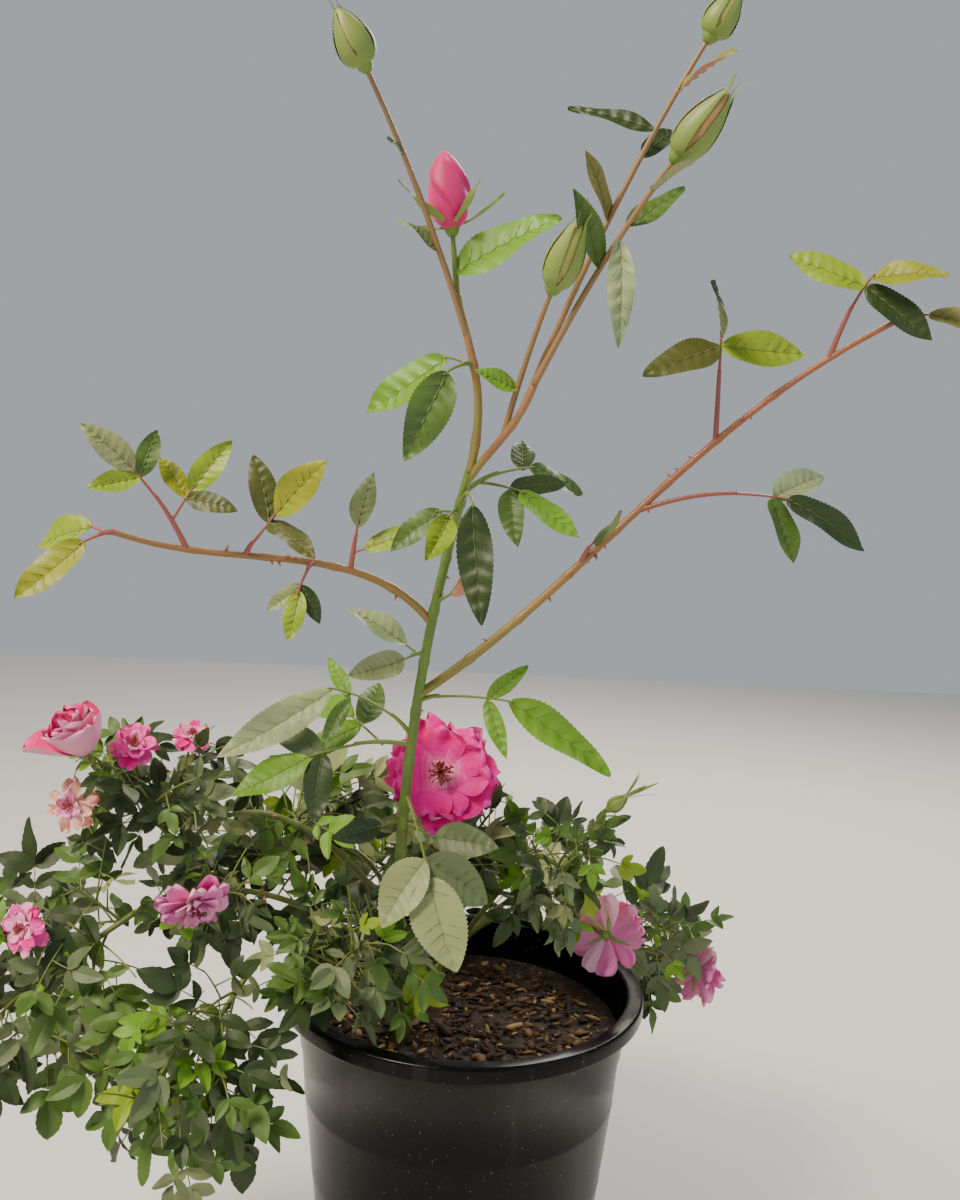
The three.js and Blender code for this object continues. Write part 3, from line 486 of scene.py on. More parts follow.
# Points spread over a leaf, for keeping it clear of its neighbours
def leafPoints(leaf):
    shares = np.array(growing["leafSamples"])
    half = leaf["length"] * leaf["width"] * (1 - np.abs(shares - growing["widestAt"])) / 2
    sides = np.array([-1, 0, 1]) * growing["sampleSide"]
    along = leaf["root"] + leaf["heading"] * (shares * leaf["length"])[:, None]
    spread = leaf["across"] * (half[:, None] * sides)[..., None]
    return (along[:, None] + spread).reshape(-1, 3)


# A leaf joins a list of its node if it stays apart from the node's leaves, in its space and clear of the
# rest. The answer is its points, or nothing
def keepLeaf(node, key, leaf, spacing, clearance):
    points = leafPoints(leaf)
    leaf["middle"] = points[len(points) // 2]
    apart = spacing * leaf["length"]
    others = node["leaves"] + node["fineLeaves"]
    isApart = all(np.linalg.norm(other["middle"] - leaf["middle"]) > apart for other in others)
    if isApart and isInSpace(node["space"], points) and isClear(node["name"], points, clearance):
        node[key].append(leaf)
        return points
    return None


# A leaf from a root point, hanging by its droop and rolled a little at random
def addLeaf(node, draw, root, toward, length, droop, width):
    axes = leafFrame(toward, droop, swing(draw, growing["leafTurn"]))
    leaf = newLeaf(root, *axes, length, width)
    points = keepLeaf(node, "leaves", leaf, growing["leafSpacing"], growing["leafClearance"])
    if points is not None:
        addBalls(node["name"], points, length * growing["leafBall"])


# A course turned away from itself by an angle: turn 0 is to its side, a quarter turn is to the light
def leaning(tangent, turn, angle):
    side = normalised(np.cross(tangent, lightward))
    above = np.cross(side, tangent)
    return tangent * math.cos(angle) + (side * math.cos(turn) + above * math.sin(turn)) * math.sin(angle)


# Where a leaf leaves a twig and its direction: straight on at the tip, else turned to a side
def leafSeat(curve, share, turn):
    tangent = curveTangent(curve, share)
    if share == 1:
        return tipRoot(curve), tangent
    return pointOn(curve, share), leaning(tangent, turn, growing["sideAngle"])


# A compound leaf: a midrib with one leaflet at its end and pairs along its sides
def addCompoundLeaf(node, draw, root, toward, pairs, leaf, droop, width, side):
    length = leaf * (growing["midrib"] + growing["midribPair"] * pairs)
    heading = normalised(toward)
    end = root + heading * length - up * droop * length * growing["midribSag"]
    midrib = np.array([root, root + heading * length / 2, end])
    if not isTwigClear(node, midrib):
        return
    addTwig(node, midrib, growing["twigRadius"])
    addLeaf(node, draw, tipRoot(midrib), curveTangent(midrib, 1), leaf, droop, width)
    for pair in range(1, pairs + 1):
        share = pair / (pairs + growing["endLeaf"])
        for turn in (0, math.pi):
            root, out = leafSeat(midrib, share, turn)
            addLeaf(node, draw, root, out, leaf * side, droop * side, width)


def newNode(name, space=None):
    lists = {key: [] for key in ("twigs", "finer", "leaves", "fineLeaves", "flowers")}
    return {"name": name, "space": space, **lists}


# A node with its stem, which leaves a limb and arches a little
def newStem(name, limb, at, reach):
    node = newNode(name)
    start = alongCurve(limbs[limb]["curve"], at)
    end = start + vector(reach)
    middle = (start + end) / 2 + up * np.linalg.norm(end - start) * growing["stemArch"]
    stem = np.array([start, middle, end])
    addTwig(node, stem, growing["stemRadius"])
    return node, stem


# Compound leaves along a stem, turning from side to side, the last one at its end
def growSpray(name, limb, at, reach, leaves, pairs, leaf, droop, seed, width=growing["upperWidth"],
              side=growing["sideLeaf"]):
    node, stem = newStem(name, limb, at, reach)
    draw = seededDraw(seed)
    for index in range(leaves):
        turn = index * math.pi + swing(draw, growing["shootTurn"])
        root, toward = leafSeat(stem, (index + 1) / leaves, turn)
        addCompoundLeaf(node, draw, root, toward, pairs, leaf, droop, width, side)
    return node


# A stem with a bud at its end and small narrow leaves on the way
def growTop(name, limb, at, reach, length, radius, leaves, leaf, seed, heading, leafAt=growing["topLeaf"],
            width=growing["upperWidth"]):
    node, stem = newStem(name, limb, at, reach)
    draw = seededDraw(seed)
    facing = curveTangent(stem, 1)
    node["flowers"].append({"kind": "bud", "at": stem[-1] + facing * length * growing["budSeat"],
                            "facing": facing, "length": length, "radius": radius})
    first = growing["topLeaf"]
    addLeaf(node, draw, pointOn(stem, leafAt), vector(heading), leaf, 0, width)
    for index in range(1, leaves):
        share = first + (1 - first) * index / leaves
        out = leaning(curveTangent(stem, share), index * goldenAngle, growing["narrowAngle"])
        addLeaf(node, draw, pointOn(stem, share), out, leaf * growing["sideLeaf"], 0, growing["narrowWidth"])
    return node


# A twig from a stem to a goal, leaving the stem a little before the nearest place
def twigToward(stem, goal):
    axis = stem[-1] - stem[0]
    nearest = np.dot(goal - stem[0], axis) / np.dot(axis, axis)
    share = min(max(nearest - growing["twigLead"], growing["firstTwig"]), growing["lastTwig"])
    foot = pointOn(stem, share)
    return np.array([foot, (foot + goal) / 2 + up * np.linalg.norm(goal - foot) * growing["twigArch"], goal])


def addFlower(node, stem, kind, at, faces, radius):
    facing = normalised(vector(faces))
    back = vector(at) - facing * radius * growing["flowerSeat"]
    foot = twigToward(stem, back)[0]
    bend = back - facing * np.linalg.norm(back - foot) * growing["stemBend"]
    addTwig(node, np.array([foot, bend, back]), growing["twigRadius"])
    node["flowers"].append({"kind": kind, "at": vector(at), "facing": facing, "radius": radius,
                            "length": radius * growing["flowerLength"]})
    addBalls(node["name"] + " flower", vector(at)[None], radius)


# A mass: one stem, twigs to an even spread of goals in its space, leaves along each twig
def growMass(name, cane, at, centre, size, twigs, leaf, seed, *flowers):
    centre, size = vector(centre), vector(size)
    node = dict(newNode(name, (centre, size)), leaf=leaf, seed=seed)
    draw = seededDraw(seed)
    limb = limbs[cane]["curve"]
    start = alongCurve(limb, at)
    end = centre + (centre - start) * growing["stemReach"]
    bend = start + curveTangent(limb, at) * np.linalg.norm(end - start) * growing["stemBend"]
    stem = np.array([start, bend, end])
    addTwig(node, stem, growing["stemRadius"])
    for flower in flowers:
        addFlower(node, stem, *flower)
    for index in range(twigs):
        reach = growing["twigReach"] + (1 - growing["twigReach"]) * draw()
        height = 1 - (2 * index + 1) / twigs
        flat = math.sqrt(1 - height * height)
        out = vector((math.cos(index * goldenAngle) * flat, math.sin(index * goldenAngle) * flat, height))
        twig = twigToward(stem, centre + out * reach * (size - leaf * growing["leafInside"]))
        if isTwigClear(node, twig):
            addTwig(node, twig, growing["twigRadius"])
            addTwigLeaves(node, seededDraw(seed + growing["seedStep"] * (index + 1)), twig)
    return node


# Leaves along a twig, from side to side, and one at its tip
def addTwigLeaves(node, draw, twig):
    for index, share in enumerate(growing["leafShares"]):
        length = node["leaf"] * (growing["leafLeast"] + growing["leafVariety"] * draw())
        turn = index * math.pi + swing(draw, growing["twigLeafTurn"])
        droop = growing["leafDroop"] * draw()
        addLeaf(node, draw, *leafSeat(twig, share, turn), length, droop, growing["leafWidth"])


# Finer twigs from the twigs of a mass, by the same rule and kept to the same space, each with leaves
finer = {"shares": (0.28, 0.5, 0.74), "angle": 1.0, "length": (0.45, 0.85), "arch": 0.1,
         "leaf": (0.62, 0.9), "leafShares": (0.4, 0.75, 1), "radii": (0.75, 0.5), "seedShift": 50021,
         "spacing": 0.42, "clearance": 1}


def growFiner(node):
    draw = seededDraw(node["seed"] + finer["seedShift"])
    for twig in node["twigs"]:
        for share in finer["shares"]:
            toward = leaning(curveTangent(twig, share), draw() * 2 * math.pi, finer["angle"])
            length = node["leaf"] * drawBetween(draw, *finer["length"])
            root = alongCurve(twig, share)
            middle = root + toward * length / 2 + up * length * finer["arch"]
            curve = np.array([root, middle, root + toward * length])
            points = twigPoints(curve, growing["twigTest"])
            if isInSpace(node["space"], points) and isClear(node["name"], points, finer["clearance"]):
                node["finer"].append(curve)
                addFinerLeaves(node, curve, draw)


def drawBetween(draw, least, most):
    return least + (most - least) * draw()


def addFinerLeaves(node, curve, draw):
    for index, share in enumerate(finer["leafShares"]):
        turn = index * math.pi + swing(draw, growing["twigLeafTurn"])
        toward = leafSeat(curve, share, turn)[1]
        axes = leafFrame(toward, growing["leafDroop"] * draw(), swing(draw, growing["leafTurn"]) * 2)
        length = node["leaf"] * drawBetween(draw, *finer["leaf"])
        leaf = newLeaf(alongCurve(curve, share), *axes, length, growing["leafWidth"])
        keepLeaf(node, "fineLeaves", leaf, finer["spacing"], finer["clearance"])


addCamera()
addLimbs()
tops = [growTop(name, *row) for name, row in floweringTops.items()]
sprays = [growSpray(name, *row) for name, row in upperSprays.items()]
masses = [growMass(name, *row) for name, row in lowMasses.items()]
for massNode in masses:
    growFiner(massNode)


def countOf(nodes, key):
    return sum(len(node[key]) for node in nodes)


print("grown by the source's rule:", countOf(tops, "leaves"), "top leaves,", countOf(sprays, "leaves"),
      "spray leaves,", countOf(masses, "leaves"), "mass leaves")
print("finer twigs:", countOf(masses, "finer"), "with", countOf(masses, "fineLeaves"), "leaves")


# Smooth unevenness from -1 to 1: sines of random direction added up, one array for all points
def unevenness(points, seed, wavelength, waves=7):
    rng = np.random.default_rng(seed)
    directions = normalised(rng.normal(size=(waves, 3))) * (2 * math.pi / wavelength)
    directions *= rng.uniform(0.6, 1.6, (waves, 1))
    return np.sin(points @ directions.T + rng.uniform(0, 2 * math.pi, waves)).sum(-1) / waves ** 0.75


# A direction turned from one toward another by an angle
def turnedBy(first, second, angle):
    return first * np.cos(angle)[..., None] + second * np.sin(angle)[..., None]


# Rings about a course: two directions at right angles to it carry a circle of the given radii
def ringsAround(centres, radii, sides):
    tangents = normalised(np.gradient(centres, axis=1))
    chord = normalised(centres[:, -1] - centres[:, 0])
    pick = np.where(np.abs(chord[:, 2:3]) > steep, rightward, up)
    reference = np.cross(chord, pick)[:, None]
    side = normalised(reference - tangents * (reference * tangents).sum(-1, keepdims=True))
    other = np.cross(tangents, side)
    angles = np.arange(sides) * 2 * math.pi / sides
    circle = turnedBy(side[:, :, None], other[:, :, None], angles)
    if radii.ndim == 2:
        radii = radii[..., None]
    return centres[:, :, None] + circle * radii[..., None], tangents


# Round tubes about courses, closed by a pole at both ends, the last one further out by the tip's radius
def tubesAround(centres, radii, sides, tipRadius=0.0):
    rings, tangents = ringsAround(centres, radii, sides)
    roundness = 0.6
    return rings, centres[:, 0], centres[:, -1] + tangents[:, -1] * tipRadius * roundness


# One joined piece of round twigs along curves, each from its own base radius to its tip radius
def makeTwigs(name, curves, radii, stations, sides, material, slot):
    shares = np.linspace(0, 1, stations)
    radii = np.array(radii, float).reshape(-1, 2)
    widths = radii[:, :1] + (radii[:, 1:] - radii[:, :1]) * shares
    tubes = tubesAround(alongCurve(np.array(curves), shares), widths, sides, radii[:, 1:])
    return makePiece(name, tubes, [material])


# Sides of a flat closed sheet: across its upper face from one margin to the other and back below
def sheetSides(columns):
    upper = np.linspace(1, -1, columns)
    lower = np.linspace(-1, 1, columns)[1:-1]
    face = np.concatenate([np.where(np.abs(upper) < 1, 1, 0), np.full(len(lower), -1)])
    return np.concatenate([upper, lower]), face


# Shares of the way along a sheet or bud, each at the middle of its station
def middleShares(stations):
    return (np.arange(stations) + 0.5) / stations


# Outline of a leaf or bud: half its width at a share of its length, a power of the share times a power
# of the rest, 1 where it is widest
def outline(shares, widest, fullness):
    rise = (shares / widest) ** (fullness * widest)
    return rise * ((1 - shares) / (1 - widest)) ** (fullness * (1 - widest))


# Grid and relief of the large upper leaves and of the leaflets in the low masses
leafForms = {
    "upper": {"stations": 45, "columns": 7, "widest": 0.42, "fullness": 1.5, "tooth": 0.03,
              "fold": (0.1, 0.4), "curl": (0.02, 0.16), "wave": 0.03, "thickness": 0.01, "veins": 7,
              "veinDepth": 0.011},
    "low": {"stations": 13, "columns": 3, "widest": 0.42, "fullness": 1.5, "tooth": 0.035,
            "fold": (0.05, 0.6), "curl": (-0.08, 0.25), "wave": 0.03, "thickness": 0.014, "veins": 0,
            "veinDepth": 0.0},
}
leafRelief = {"bend": (-0.12, 0.12), "toothLean": 0.25, "waves": 8, "waveTurn": 2, "veinSlant": 0.7}


# Leaves as closed sheets: along by share u, across by side v. The height is a fold that rises with
# the distance from the midrib, less a curl that grows as u squared, with a waved and toothed margin
# and a ripple at each side vein
def leafTubes(leaves, form, seed):
    rng = np.random.default_rng(seed)
    each = (len(leaves["length"]), 1, 1)
    u = middleShares(form["stations"])[None, :, None]
    v, face = sheetSides(form["columns"])
    half = outline(u, form["widest"], form["fullness"]) * leaves["width"][:, None, None] / 2
    margin = np.abs(v) == 1
    teeth = np.where(np.arange(form["stations"]) % 2, 1, -1)[None, :, None] * form["tooth"]
    y = half * v * (1 + teeth * margin)
    x = u + np.abs(teeth) * margin * leafRelief["toothLean"] * half + 0 * y
    fold, curl, phase, bend = (rng.uniform(*limits, each) for limits in (
        form["fold"], form["curl"], (0, 2 * math.pi), leafRelief["bend"]))
    wave = np.sin(leafRelief["waves"] * u + phase + leafRelief["waveTurn"] * v)
    vein = np.cos(2 * math.pi * form["veins"] * (u - leafRelief["veinSlant"] * np.abs(y)))
    z = fold * np.abs(y) - curl * u ** 2 + form["wave"] * wave * v ** 2
    z = z + form["veinDepth"] * vein * (1 - v ** 2)
    z = z + form["thickness"] / 2 * face
    y = y + bend * u ** 2
    root, heading, across, through = (leaves[key] for key in ("root", "heading", "across", "through"))
    size = leaves["length"][:, None, None, None]
    rings = root[:, None, None] + size * (
        heading[:, None, None] * x[..., None] + across[:, None, None] * y[..., None]
        + through[:, None, None] * z[..., None])
    return rings, root, root + size[:, 0, 0] * (heading + across * bend[:, 0] - through * curl[:, 0])


# Material number of every face of closed sheets: the upper faces take the sheet's tone, the lower
# ones the tone after it
def sheetTones(tones, stations, columns):
    below = (np.arange(2 * columns - 2) >= columns - 1).astype(int)
    fan = tones[:, None] + below
    return np.concatenate([np.repeat(fan[:, None], stations - 1, 1).ravel(), fan.ravel(), fan.ravel()])


# Numbers of a sheet's sharp lines at each corner: 1 along its margin, 2 and 3 along the crease that a
# leaf has on both faces of its midrib, and 0 elsewhere
def sharpLines(count, stations, columns, crease=False):
    ring = 2 * columns - 2
    lines = np.zeros((count, stations * ring + 2), int)
    body = lines[:, :stations * ring].reshape(count, stations, ring)
    body[:, :, [0, columns - 1]] = 1
    if crease:
        body[:, :, (columns - 1) // 2] = 2
        body[:, :, columns - 1 + (columns - 1) // 2] = 3
    lines[:, -2:] = 1
    return lines.ravel()


def makeLeaves(name, leaves, tones, form, materials, seed):
    grid = (form["stations"], form["columns"])
    return makePiece(name, leafTubes(leaves, form, seed), materials, sheetTones(tones, *grid),
                     sharpLines(len(tones), *grid, crease=True))


def stacked(leaves):
    return {key: np.array([leaf[key] for leaf in leaves], float)
            for key in ("root", "heading", "across", "through", "length", "width")}


# Upper face and underside of each leaf colour. Besides the leaves' own greens these tones hold painted
# light:
# lime and bright are light greens with painted backlight glow, dark is painted shade, pale is painted sun
# sheen, and sage is partly a real dusty bloom and partly painted sun sheen
leafTones = {
    "dark": ("2b3a12", "606c40"), "mid": ("46611e", "78894a"), "greyGreen": ("586540", "8a9066"),
    "sage": ("848c5c", "a2a67c"), "bright": ("628c1a", "92a84a"), "lime": ("809614", "a4ae48"),
    "gold": ("848812", "a09c40"), "blush": ("7d7a3a", "b07a62"), "pale": ("8c9a6c", "aab48c"),
    "olive": ("484c18", "77743a"),
}
toneOrder = list(leafTones)
# Tones of the leaves of each spray and flowering top, dealt in turn: sprays that stand lit, backlit or in
# shade take the bright, lime or dark tones, which is painted light and painted shade in the leaf colour
sprayTones = {
    "pink_bud_top": "bright", "left_green_bud_top": "greyGreen", "right_low_bud_top": "bright",
    "right_middle_bud_top": "pale mid mid greyGreen", "right_high_bud_top": "dark blush",
    "front_spray": "sage sage greyGreen", "front_left_spray": "dark", "front_right_spray": "greyGreen",
    "left_cluster_high": "pale bright mid", "left_cluster_low": "bright mid bright bright greyGreen dark",
    "right_compound_leaf": "bright", "fork_leaves": "pale sage", "fork_right_leaves": "blush",
    "hanging_leaf": "dark", "node_right_leaves": "bright mid dark mid dark", "node_left_leaves": "mid lime",
    "top_left_leaves": "bright mid", "left_cane_up_leaves": "gold olive olive",
    "left_cane_low_leaves": "lime sage dark", "left_cane_inner_leaves": "lime greyGreen",
    "left_cane_shoot": "lime olive gold sage mid lime", "left_cane_tip_leaves": "lime gold",
    "right_cane_inner_leaves": "dark", "right_cane_low_shoot": "dark mid pale",
    "right_cane_middle_shoot": "dark lime olive", "right_cane_top_shoot": "gold dark lime",
    "right_cane_tip_leaves": "blush dark",
}
# Share of each tone among the low leaves, on the twigs and on the finer twigs. The inner layer on the finer
# twigs takes more of the dark tone and less of the light ones: painted shade inside the foliage masses
lowShares = {
    "outer": {"dark": 0.28, "mid": 0.26, "greyGreen": 0.2, "sage": 0.1, "bright": 0.11, "lime": 0.05},
    "inner": {"dark": 0.42, "mid": 0.26, "greyGreen": 0.2, "sage": 0.05, "bright": 0.05, "lime": 0.02},
}


def leafMaterials(label, tones, roughness):
    made = []
    for tone, (top, under) in tones.items():
        made.append(plainMaterial(f"{label}_{tone}_top", top, roughness, specular=0.4))
        made.append(plainMaterial(f"{label}_{tone}_under", under, roughness + 0.2, specular=0.3))
    return made


# Leaflets of a compound leaf, as shares of its length: where each stands, its side and size
leafletForm = {"angle": 0.95, "swing": (-0.25, 0.25), "nod": (-0.5, 0.35), "roll": (-0.7, 0.7),
               "length": (0.75, 1.15), "width": (0.42, 0.58), "arch": 0.2, "archShare": 0.6,
               "midribArch": 0.04}
leafletPatterns = {
    "outer": ((0.2, 0.2, 0.44, 0.44, 0.5), (1, -1, 1, -1, 0), (0.36, 0.36, 0.46, 0.46, 0.54)),
    "inner": ((0.4, 0.4, 0.48), (1, -1, 0), (0.44, 0.44, 0.54)),
}


# Every leaf of the masses is drawn as a midrib with three or five leaflets in its outline
def leafletsOf(leaves, tones, pattern, seed):
    rng = np.random.default_rng(seed)
    along, side, size = np.array(pattern, float)[:, None, :, None]
    shape = (len(leaves["length"]), along.shape[1], 1)
    heading, across, through = (leaves[key][:, None] for key in ("heading", "across", "through"))
    length = leaves["length"][:, None, None]
    rise = through * leafletForm["arch"] * along * (leafletForm["archShare"] - along)
    root = leaves["root"][:, None] + length * (heading * along + rise)
    angle = np.where(side == 0, 0, leafletForm["angle"]) + rng.uniform(*leafletForm["swing"], shape)
    nod = rng.uniform(*leafletForm["nod"], shape)
    toward = normalised(heading * np.cos(angle) + across * side * np.sin(angle) + through * nod)
    level = through + across * rng.uniform(*leafletForm["roll"], shape)
    crosswise = normalised(np.cross(level, toward))
    leaflets = {"root": root, "heading": toward, "across": crosswise, "through": np.cross(toward, crosswise)}
    leaflets = {key: values.reshape(-1, 3) for key, values in leaflets.items()}
    leaflets["length"] = (length * size * rng.uniform(*leafletForm["length"], shape)).ravel()
    leaflets["width"] = rng.uniform(*leafletForm["width"], shape[0] * shape[1])
    return leaflets, np.repeat(tones, shape[1])


# A midrib along each compound leaf, out to its last leaflet and a little arched
def midribsOf(leaves, reach):
    root, length = leaves["root"], leaves["length"][:, None]
    end = root + leaves["heading"] * length * reach
    middle = (root + end) / 2 + leaves["through"] * length * leafletForm["midribArch"]
    return np.stack([root, middle, end], 1)


# Side veins: from the midrib out and forward to near the margin, each through three columns of the grid
def sideVeins(rings):
    veins = {"first": 6, "spacing": 5, "count": 6, "step": 2}
    starts = veins["first"] + veins["spacing"] * np.arange(veins["count"])
    stations = starts[:, None] + veins["step"] * np.arange(3)
    sides = [rings[:, stations, columns] for columns in (np.array([3, 2, 1]), np.array([3, 4, 5]))]
    return np.concatenate(sides, 1).reshape(-1, 3, 3)


# Radii at the root, the middle and the tip, and sides, of the ribs on the upper leaves
ribForms = {"midrib": ((0.6, 0.4, 0.12), 6), "vein": ((0.2, 0.17, 0.1), 4), "colour": "5e6a34"}


# Round ribs along lines
def addRibs(name, lines, radii, sides, tones, materials):
    widths = np.tile(np.interp(np.linspace(0, 1, lines.shape[1]), [0, 0.5, 1], radii), (len(lines), 1))
    makePiece(name, tubesAround(lines, widths, sides), materials,
              bandTones(tones, 1, lines.shape[1], sides))


def addUpperLeaves():
    nodes = sprays + tops
    leaves = stacked([leaf for node in nodes for leaf in node["leaves"]])
    names = [own[k % len(own)] for node in nodes for own in [sprayTones[node["name"]].split()]
             for k in range(len(node["leaves"]))]
    tones = np.array([toneOrder.index(name) for name in names])
    form, seed = leafForms["upper"], 7
    piece = makeLeaves("upper_leaves", leaves, tones * 2, form, leafMaterials("upperLeaf", leafTones, 0.48),
                       seed)
    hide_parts(*[node["name"] for node in nodes])
    finishes = [plainMaterial(f"leafRib_{tone}", blended((pair[0], ribForms["colour"]), 3)[1], 0.5)
                for tone, pair in leafTones.items()]
    rings, roots, tips = leafTubes(leaves, form, seed)
    middles = np.concatenate([roots[:, None], rings[:, :, (form["columns"] - 1) // 2], tips[:, None]], 1)
    addRibs("upper_leaf_ribs", middles, *ribForms["midrib"], tones, finishes)
    veins = sideVeins(rings)
    tones = np.repeat(tones, len(veins) // len(tones))
    addRibs("upper_leaf_veins", veins, *ribForms["vein"], tones, finishes)
    print("upper leaves:", len(names))


# Radii at both ends, stations and sides of each kind of stem and twig
twigForms = {"stems": ((1.8, 1.2), 24, 10), "midribs": ((0.95, 0.65), 14, 8),
             "low_stems": ((2.2, 1.5), 20, 10), "low_twigs": ((1.2, 0.8), 12, 7),
             "low_fine_twigs": (finer["radii"], 8, 5), "low_midribs": ((0.6, 0.4), 5, 4)}


# The low leaves' tones are dealt out at random, one for each compound leaf, by the shares of its layer
def addLowLeaves():
    names = [node["name"] for node in masses]
    materials = leafMaterials("lowLeaf", leafTones, 0.55)
    rng = np.random.default_rng(11)
    midribs = []
    for layer, key in (("outer", "leaves"), ("inner", "fineLeaves")):
        leaves = stacked([leaf for node in masses for leaf in node[key]])
        shares = lowShares[layer]
        dealt = rng.choice(list(shares), len(leaves["length"]), p=list(shares.values()))
        leaflets, dealt = leafletsOf(leaves, dealt, leafletPatterns[layer], 13)
        midribs.append(midribsOf(leaves, leafletPatterns[layer][0][-1]))
        for index, tone in enumerate(shares):
            own = {part: values[dealt == tone] for part, values in leaflets.items()}
            first = 2 * toneOrder.index(tone)
            piece = makeLeaves(f"low_leaves_{layer}_{tone}", own, np.zeros(len(own["length"]), int),
                               leafForms["low"], materials[first:first + 2], 17 + index)
            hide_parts(*names)
        print("low leaflets,", layer, len(dealt))
    makeTwigs("low_midribs", np.concatenate(midribs), *twigForms["low_midribs"],
              plainMaterial("lowMidrib", "6f7c3c", 0.5), "low_leaf")


# Red young shoots on the arching canes, brown stems under the green buds, and green ones elsewhere
def stemSet(name):
    if "_cane_" in name:
        return "young"
    return "top" if name in list(floweringTops)[1:] else "upper"


def stemsAndTwigs(nodes):
    return [node["twigs"][0] for node in nodes], [twig for node in nodes for twig in node["twigs"][1:]]


def addTwigs():
    for label, colour in (("young", "8c4a3e"), ("top", "84643c"), ("upper", "66752a")):
        nodes = [node for node in sprays + tops if stemSet(node["name"]) == label]
        stems, ribs = stemsAndTwigs(nodes)
        finish = plainMaterial(label + "Stem", colour, 0.45, coat=0.1)
        makeTwigs(label + "_stems", stems, *twigForms["stems"], finish, "young_leaf")
        if ribs:
            makeTwigs(label + "_midribs", ribs, *twigForms["midribs"], finish, "young_leaf")
    stems, twigs = stemsAndTwigs(masses)
    fine = [curve for node in masses for curve in node["finer"]]
    bark = plainMaterial("lowTwig", "5a6428", 0.55)
    fineBark = plainMaterial("fineTwig", "6a7630", 0.5)
    for name, curves, finish in (("low_stems", stems, bark), ("low_twigs", twigs, bark),
                                 ("low_fine_twigs", fine, fineBark)):
        makeTwigs(name, curves, *twigForms[name], finish, "low_leaf")


# A finish in layers on Object coordinates: each layer lays its colour over the last where its noise
# rises from one value to another, or the height where it names the axis, and a fine noise raises the
# surface. A layer is colour, noise scale or axis, both values, amount, and the noise's stretch
def layeredMaterial(name, colour, layers, roughness, relief, coat=0.0, specular=0.5):
    material = plainMaterial(name, colour, roughness[0], specular=specular, coat=coat)
    nodes, links = material.node_tree.nodes, material.node_tree.links
    shader = nodes["Principled BSDF"].inputs
    place = nodes.new("ShaderNodeTexCoord").outputs["Object"]
    split = nodes.new("ShaderNodeSeparateXYZ")
    links.new(place, split.inputs[0])

    def noise(scale, stretch=(1, 1, 1)):
        mapping = nodes.new("ShaderNodeMapping")
        fine = nodes.new("ShaderNodeTexNoise")
        setInputs(mapping, {"Scale": stretch})
        setInputs(fine, {"Scale": scale, "Detail": 4})
        links.new(place, mapping.inputs["Vector"])
        links.new(mapping.outputs["Vector"], fine.inputs["Vector"])
        return fine.outputs["Fac"]

    def ranged(source, values):
        reach = nodes.new("ShaderNodeMapRange")
        setInputs(reach, values)
        links.new(source, reach.inputs["Value"])
        return reach.outputs["Result"]

    last = None
    for tint, source, least, most, amount, *stretch in layers:
        value = split.outputs[source] if source == "Z" else noise(source, *stretch)
        share = ranged(value, {"From Min": least, "From Max": most, "To Max": amount})
        mix = nodes.new("ShaderNodeMix")
        mix.data_type = "RGBA"
        links.new(share, mix.inputs["Factor"])
        if last is None:
            mix.inputs["A"].default_value = shade(colour)
        else:
            links.new(last, mix.inputs["A"])
        mix.inputs["B"].default_value = shade(tint)
        last = mix.outputs["Result"]
    links.new(last, shader["Base Color"])
    rough = ranged(noise(relief["roughScale"]), {"To Min": roughness[0], "To Max": roughness[1]})
    links.new(rough, shader["Roughness"])
    bump = nodes.new("ShaderNodeBump")
    setInputs(bump, {"Strength": relief["strength"], "Distance": relief["distance"]})
    links.new(noise(relief["scale"]), bump.inputs["Height"])
    links.new(bump.outputs["Normal"], shader["Normal"])
    return material


# Canes: a circle of the limb's radius along its course, with fine unevenness and a swelling at each bud
canes = {"spacing": 2.0, "sides": 18, "budSpacing": 41, "swelling": 0.17, "swellingLength": 3.2,
         "unevenness": 0.025, "waves": (9, 3.5), "fineShare": 0.6, "soilSink": 1.5, "tipRound": 0.5}
# Base colour and layers of each kind of cane
caneFinishes = {
    "green": ("4c6a1a", [("71872c", 26, 0.45, 0.65, 0.7), ("6e4a26", 18, 0.6, 0.74, 0.5),
                         ("4a3c22", "Z", 0.33, 0.25, 0.75)]),
    "red": ("6f7428", [("8a7a34", 22, 0.45, 0.65, 0.7), ("96503a", "Z", 0.52, 0.68, 0.85)]),
    "top": ("7c7c30", [("96583e", 14, 0.4, 0.56, 0.8)]),
    "low": ("4e5f24", [("71773c", 40, 0.42, 0.6, 0.7), ("4c3a26", 22, 0.5, 0.7, 0.8)]),
}
caneLooks = {"main_cane": "green", "right_arching_cane": "red", "left_arching_cane": "red",
             "top_left_cane": "top", "top_right_cane": "top"}


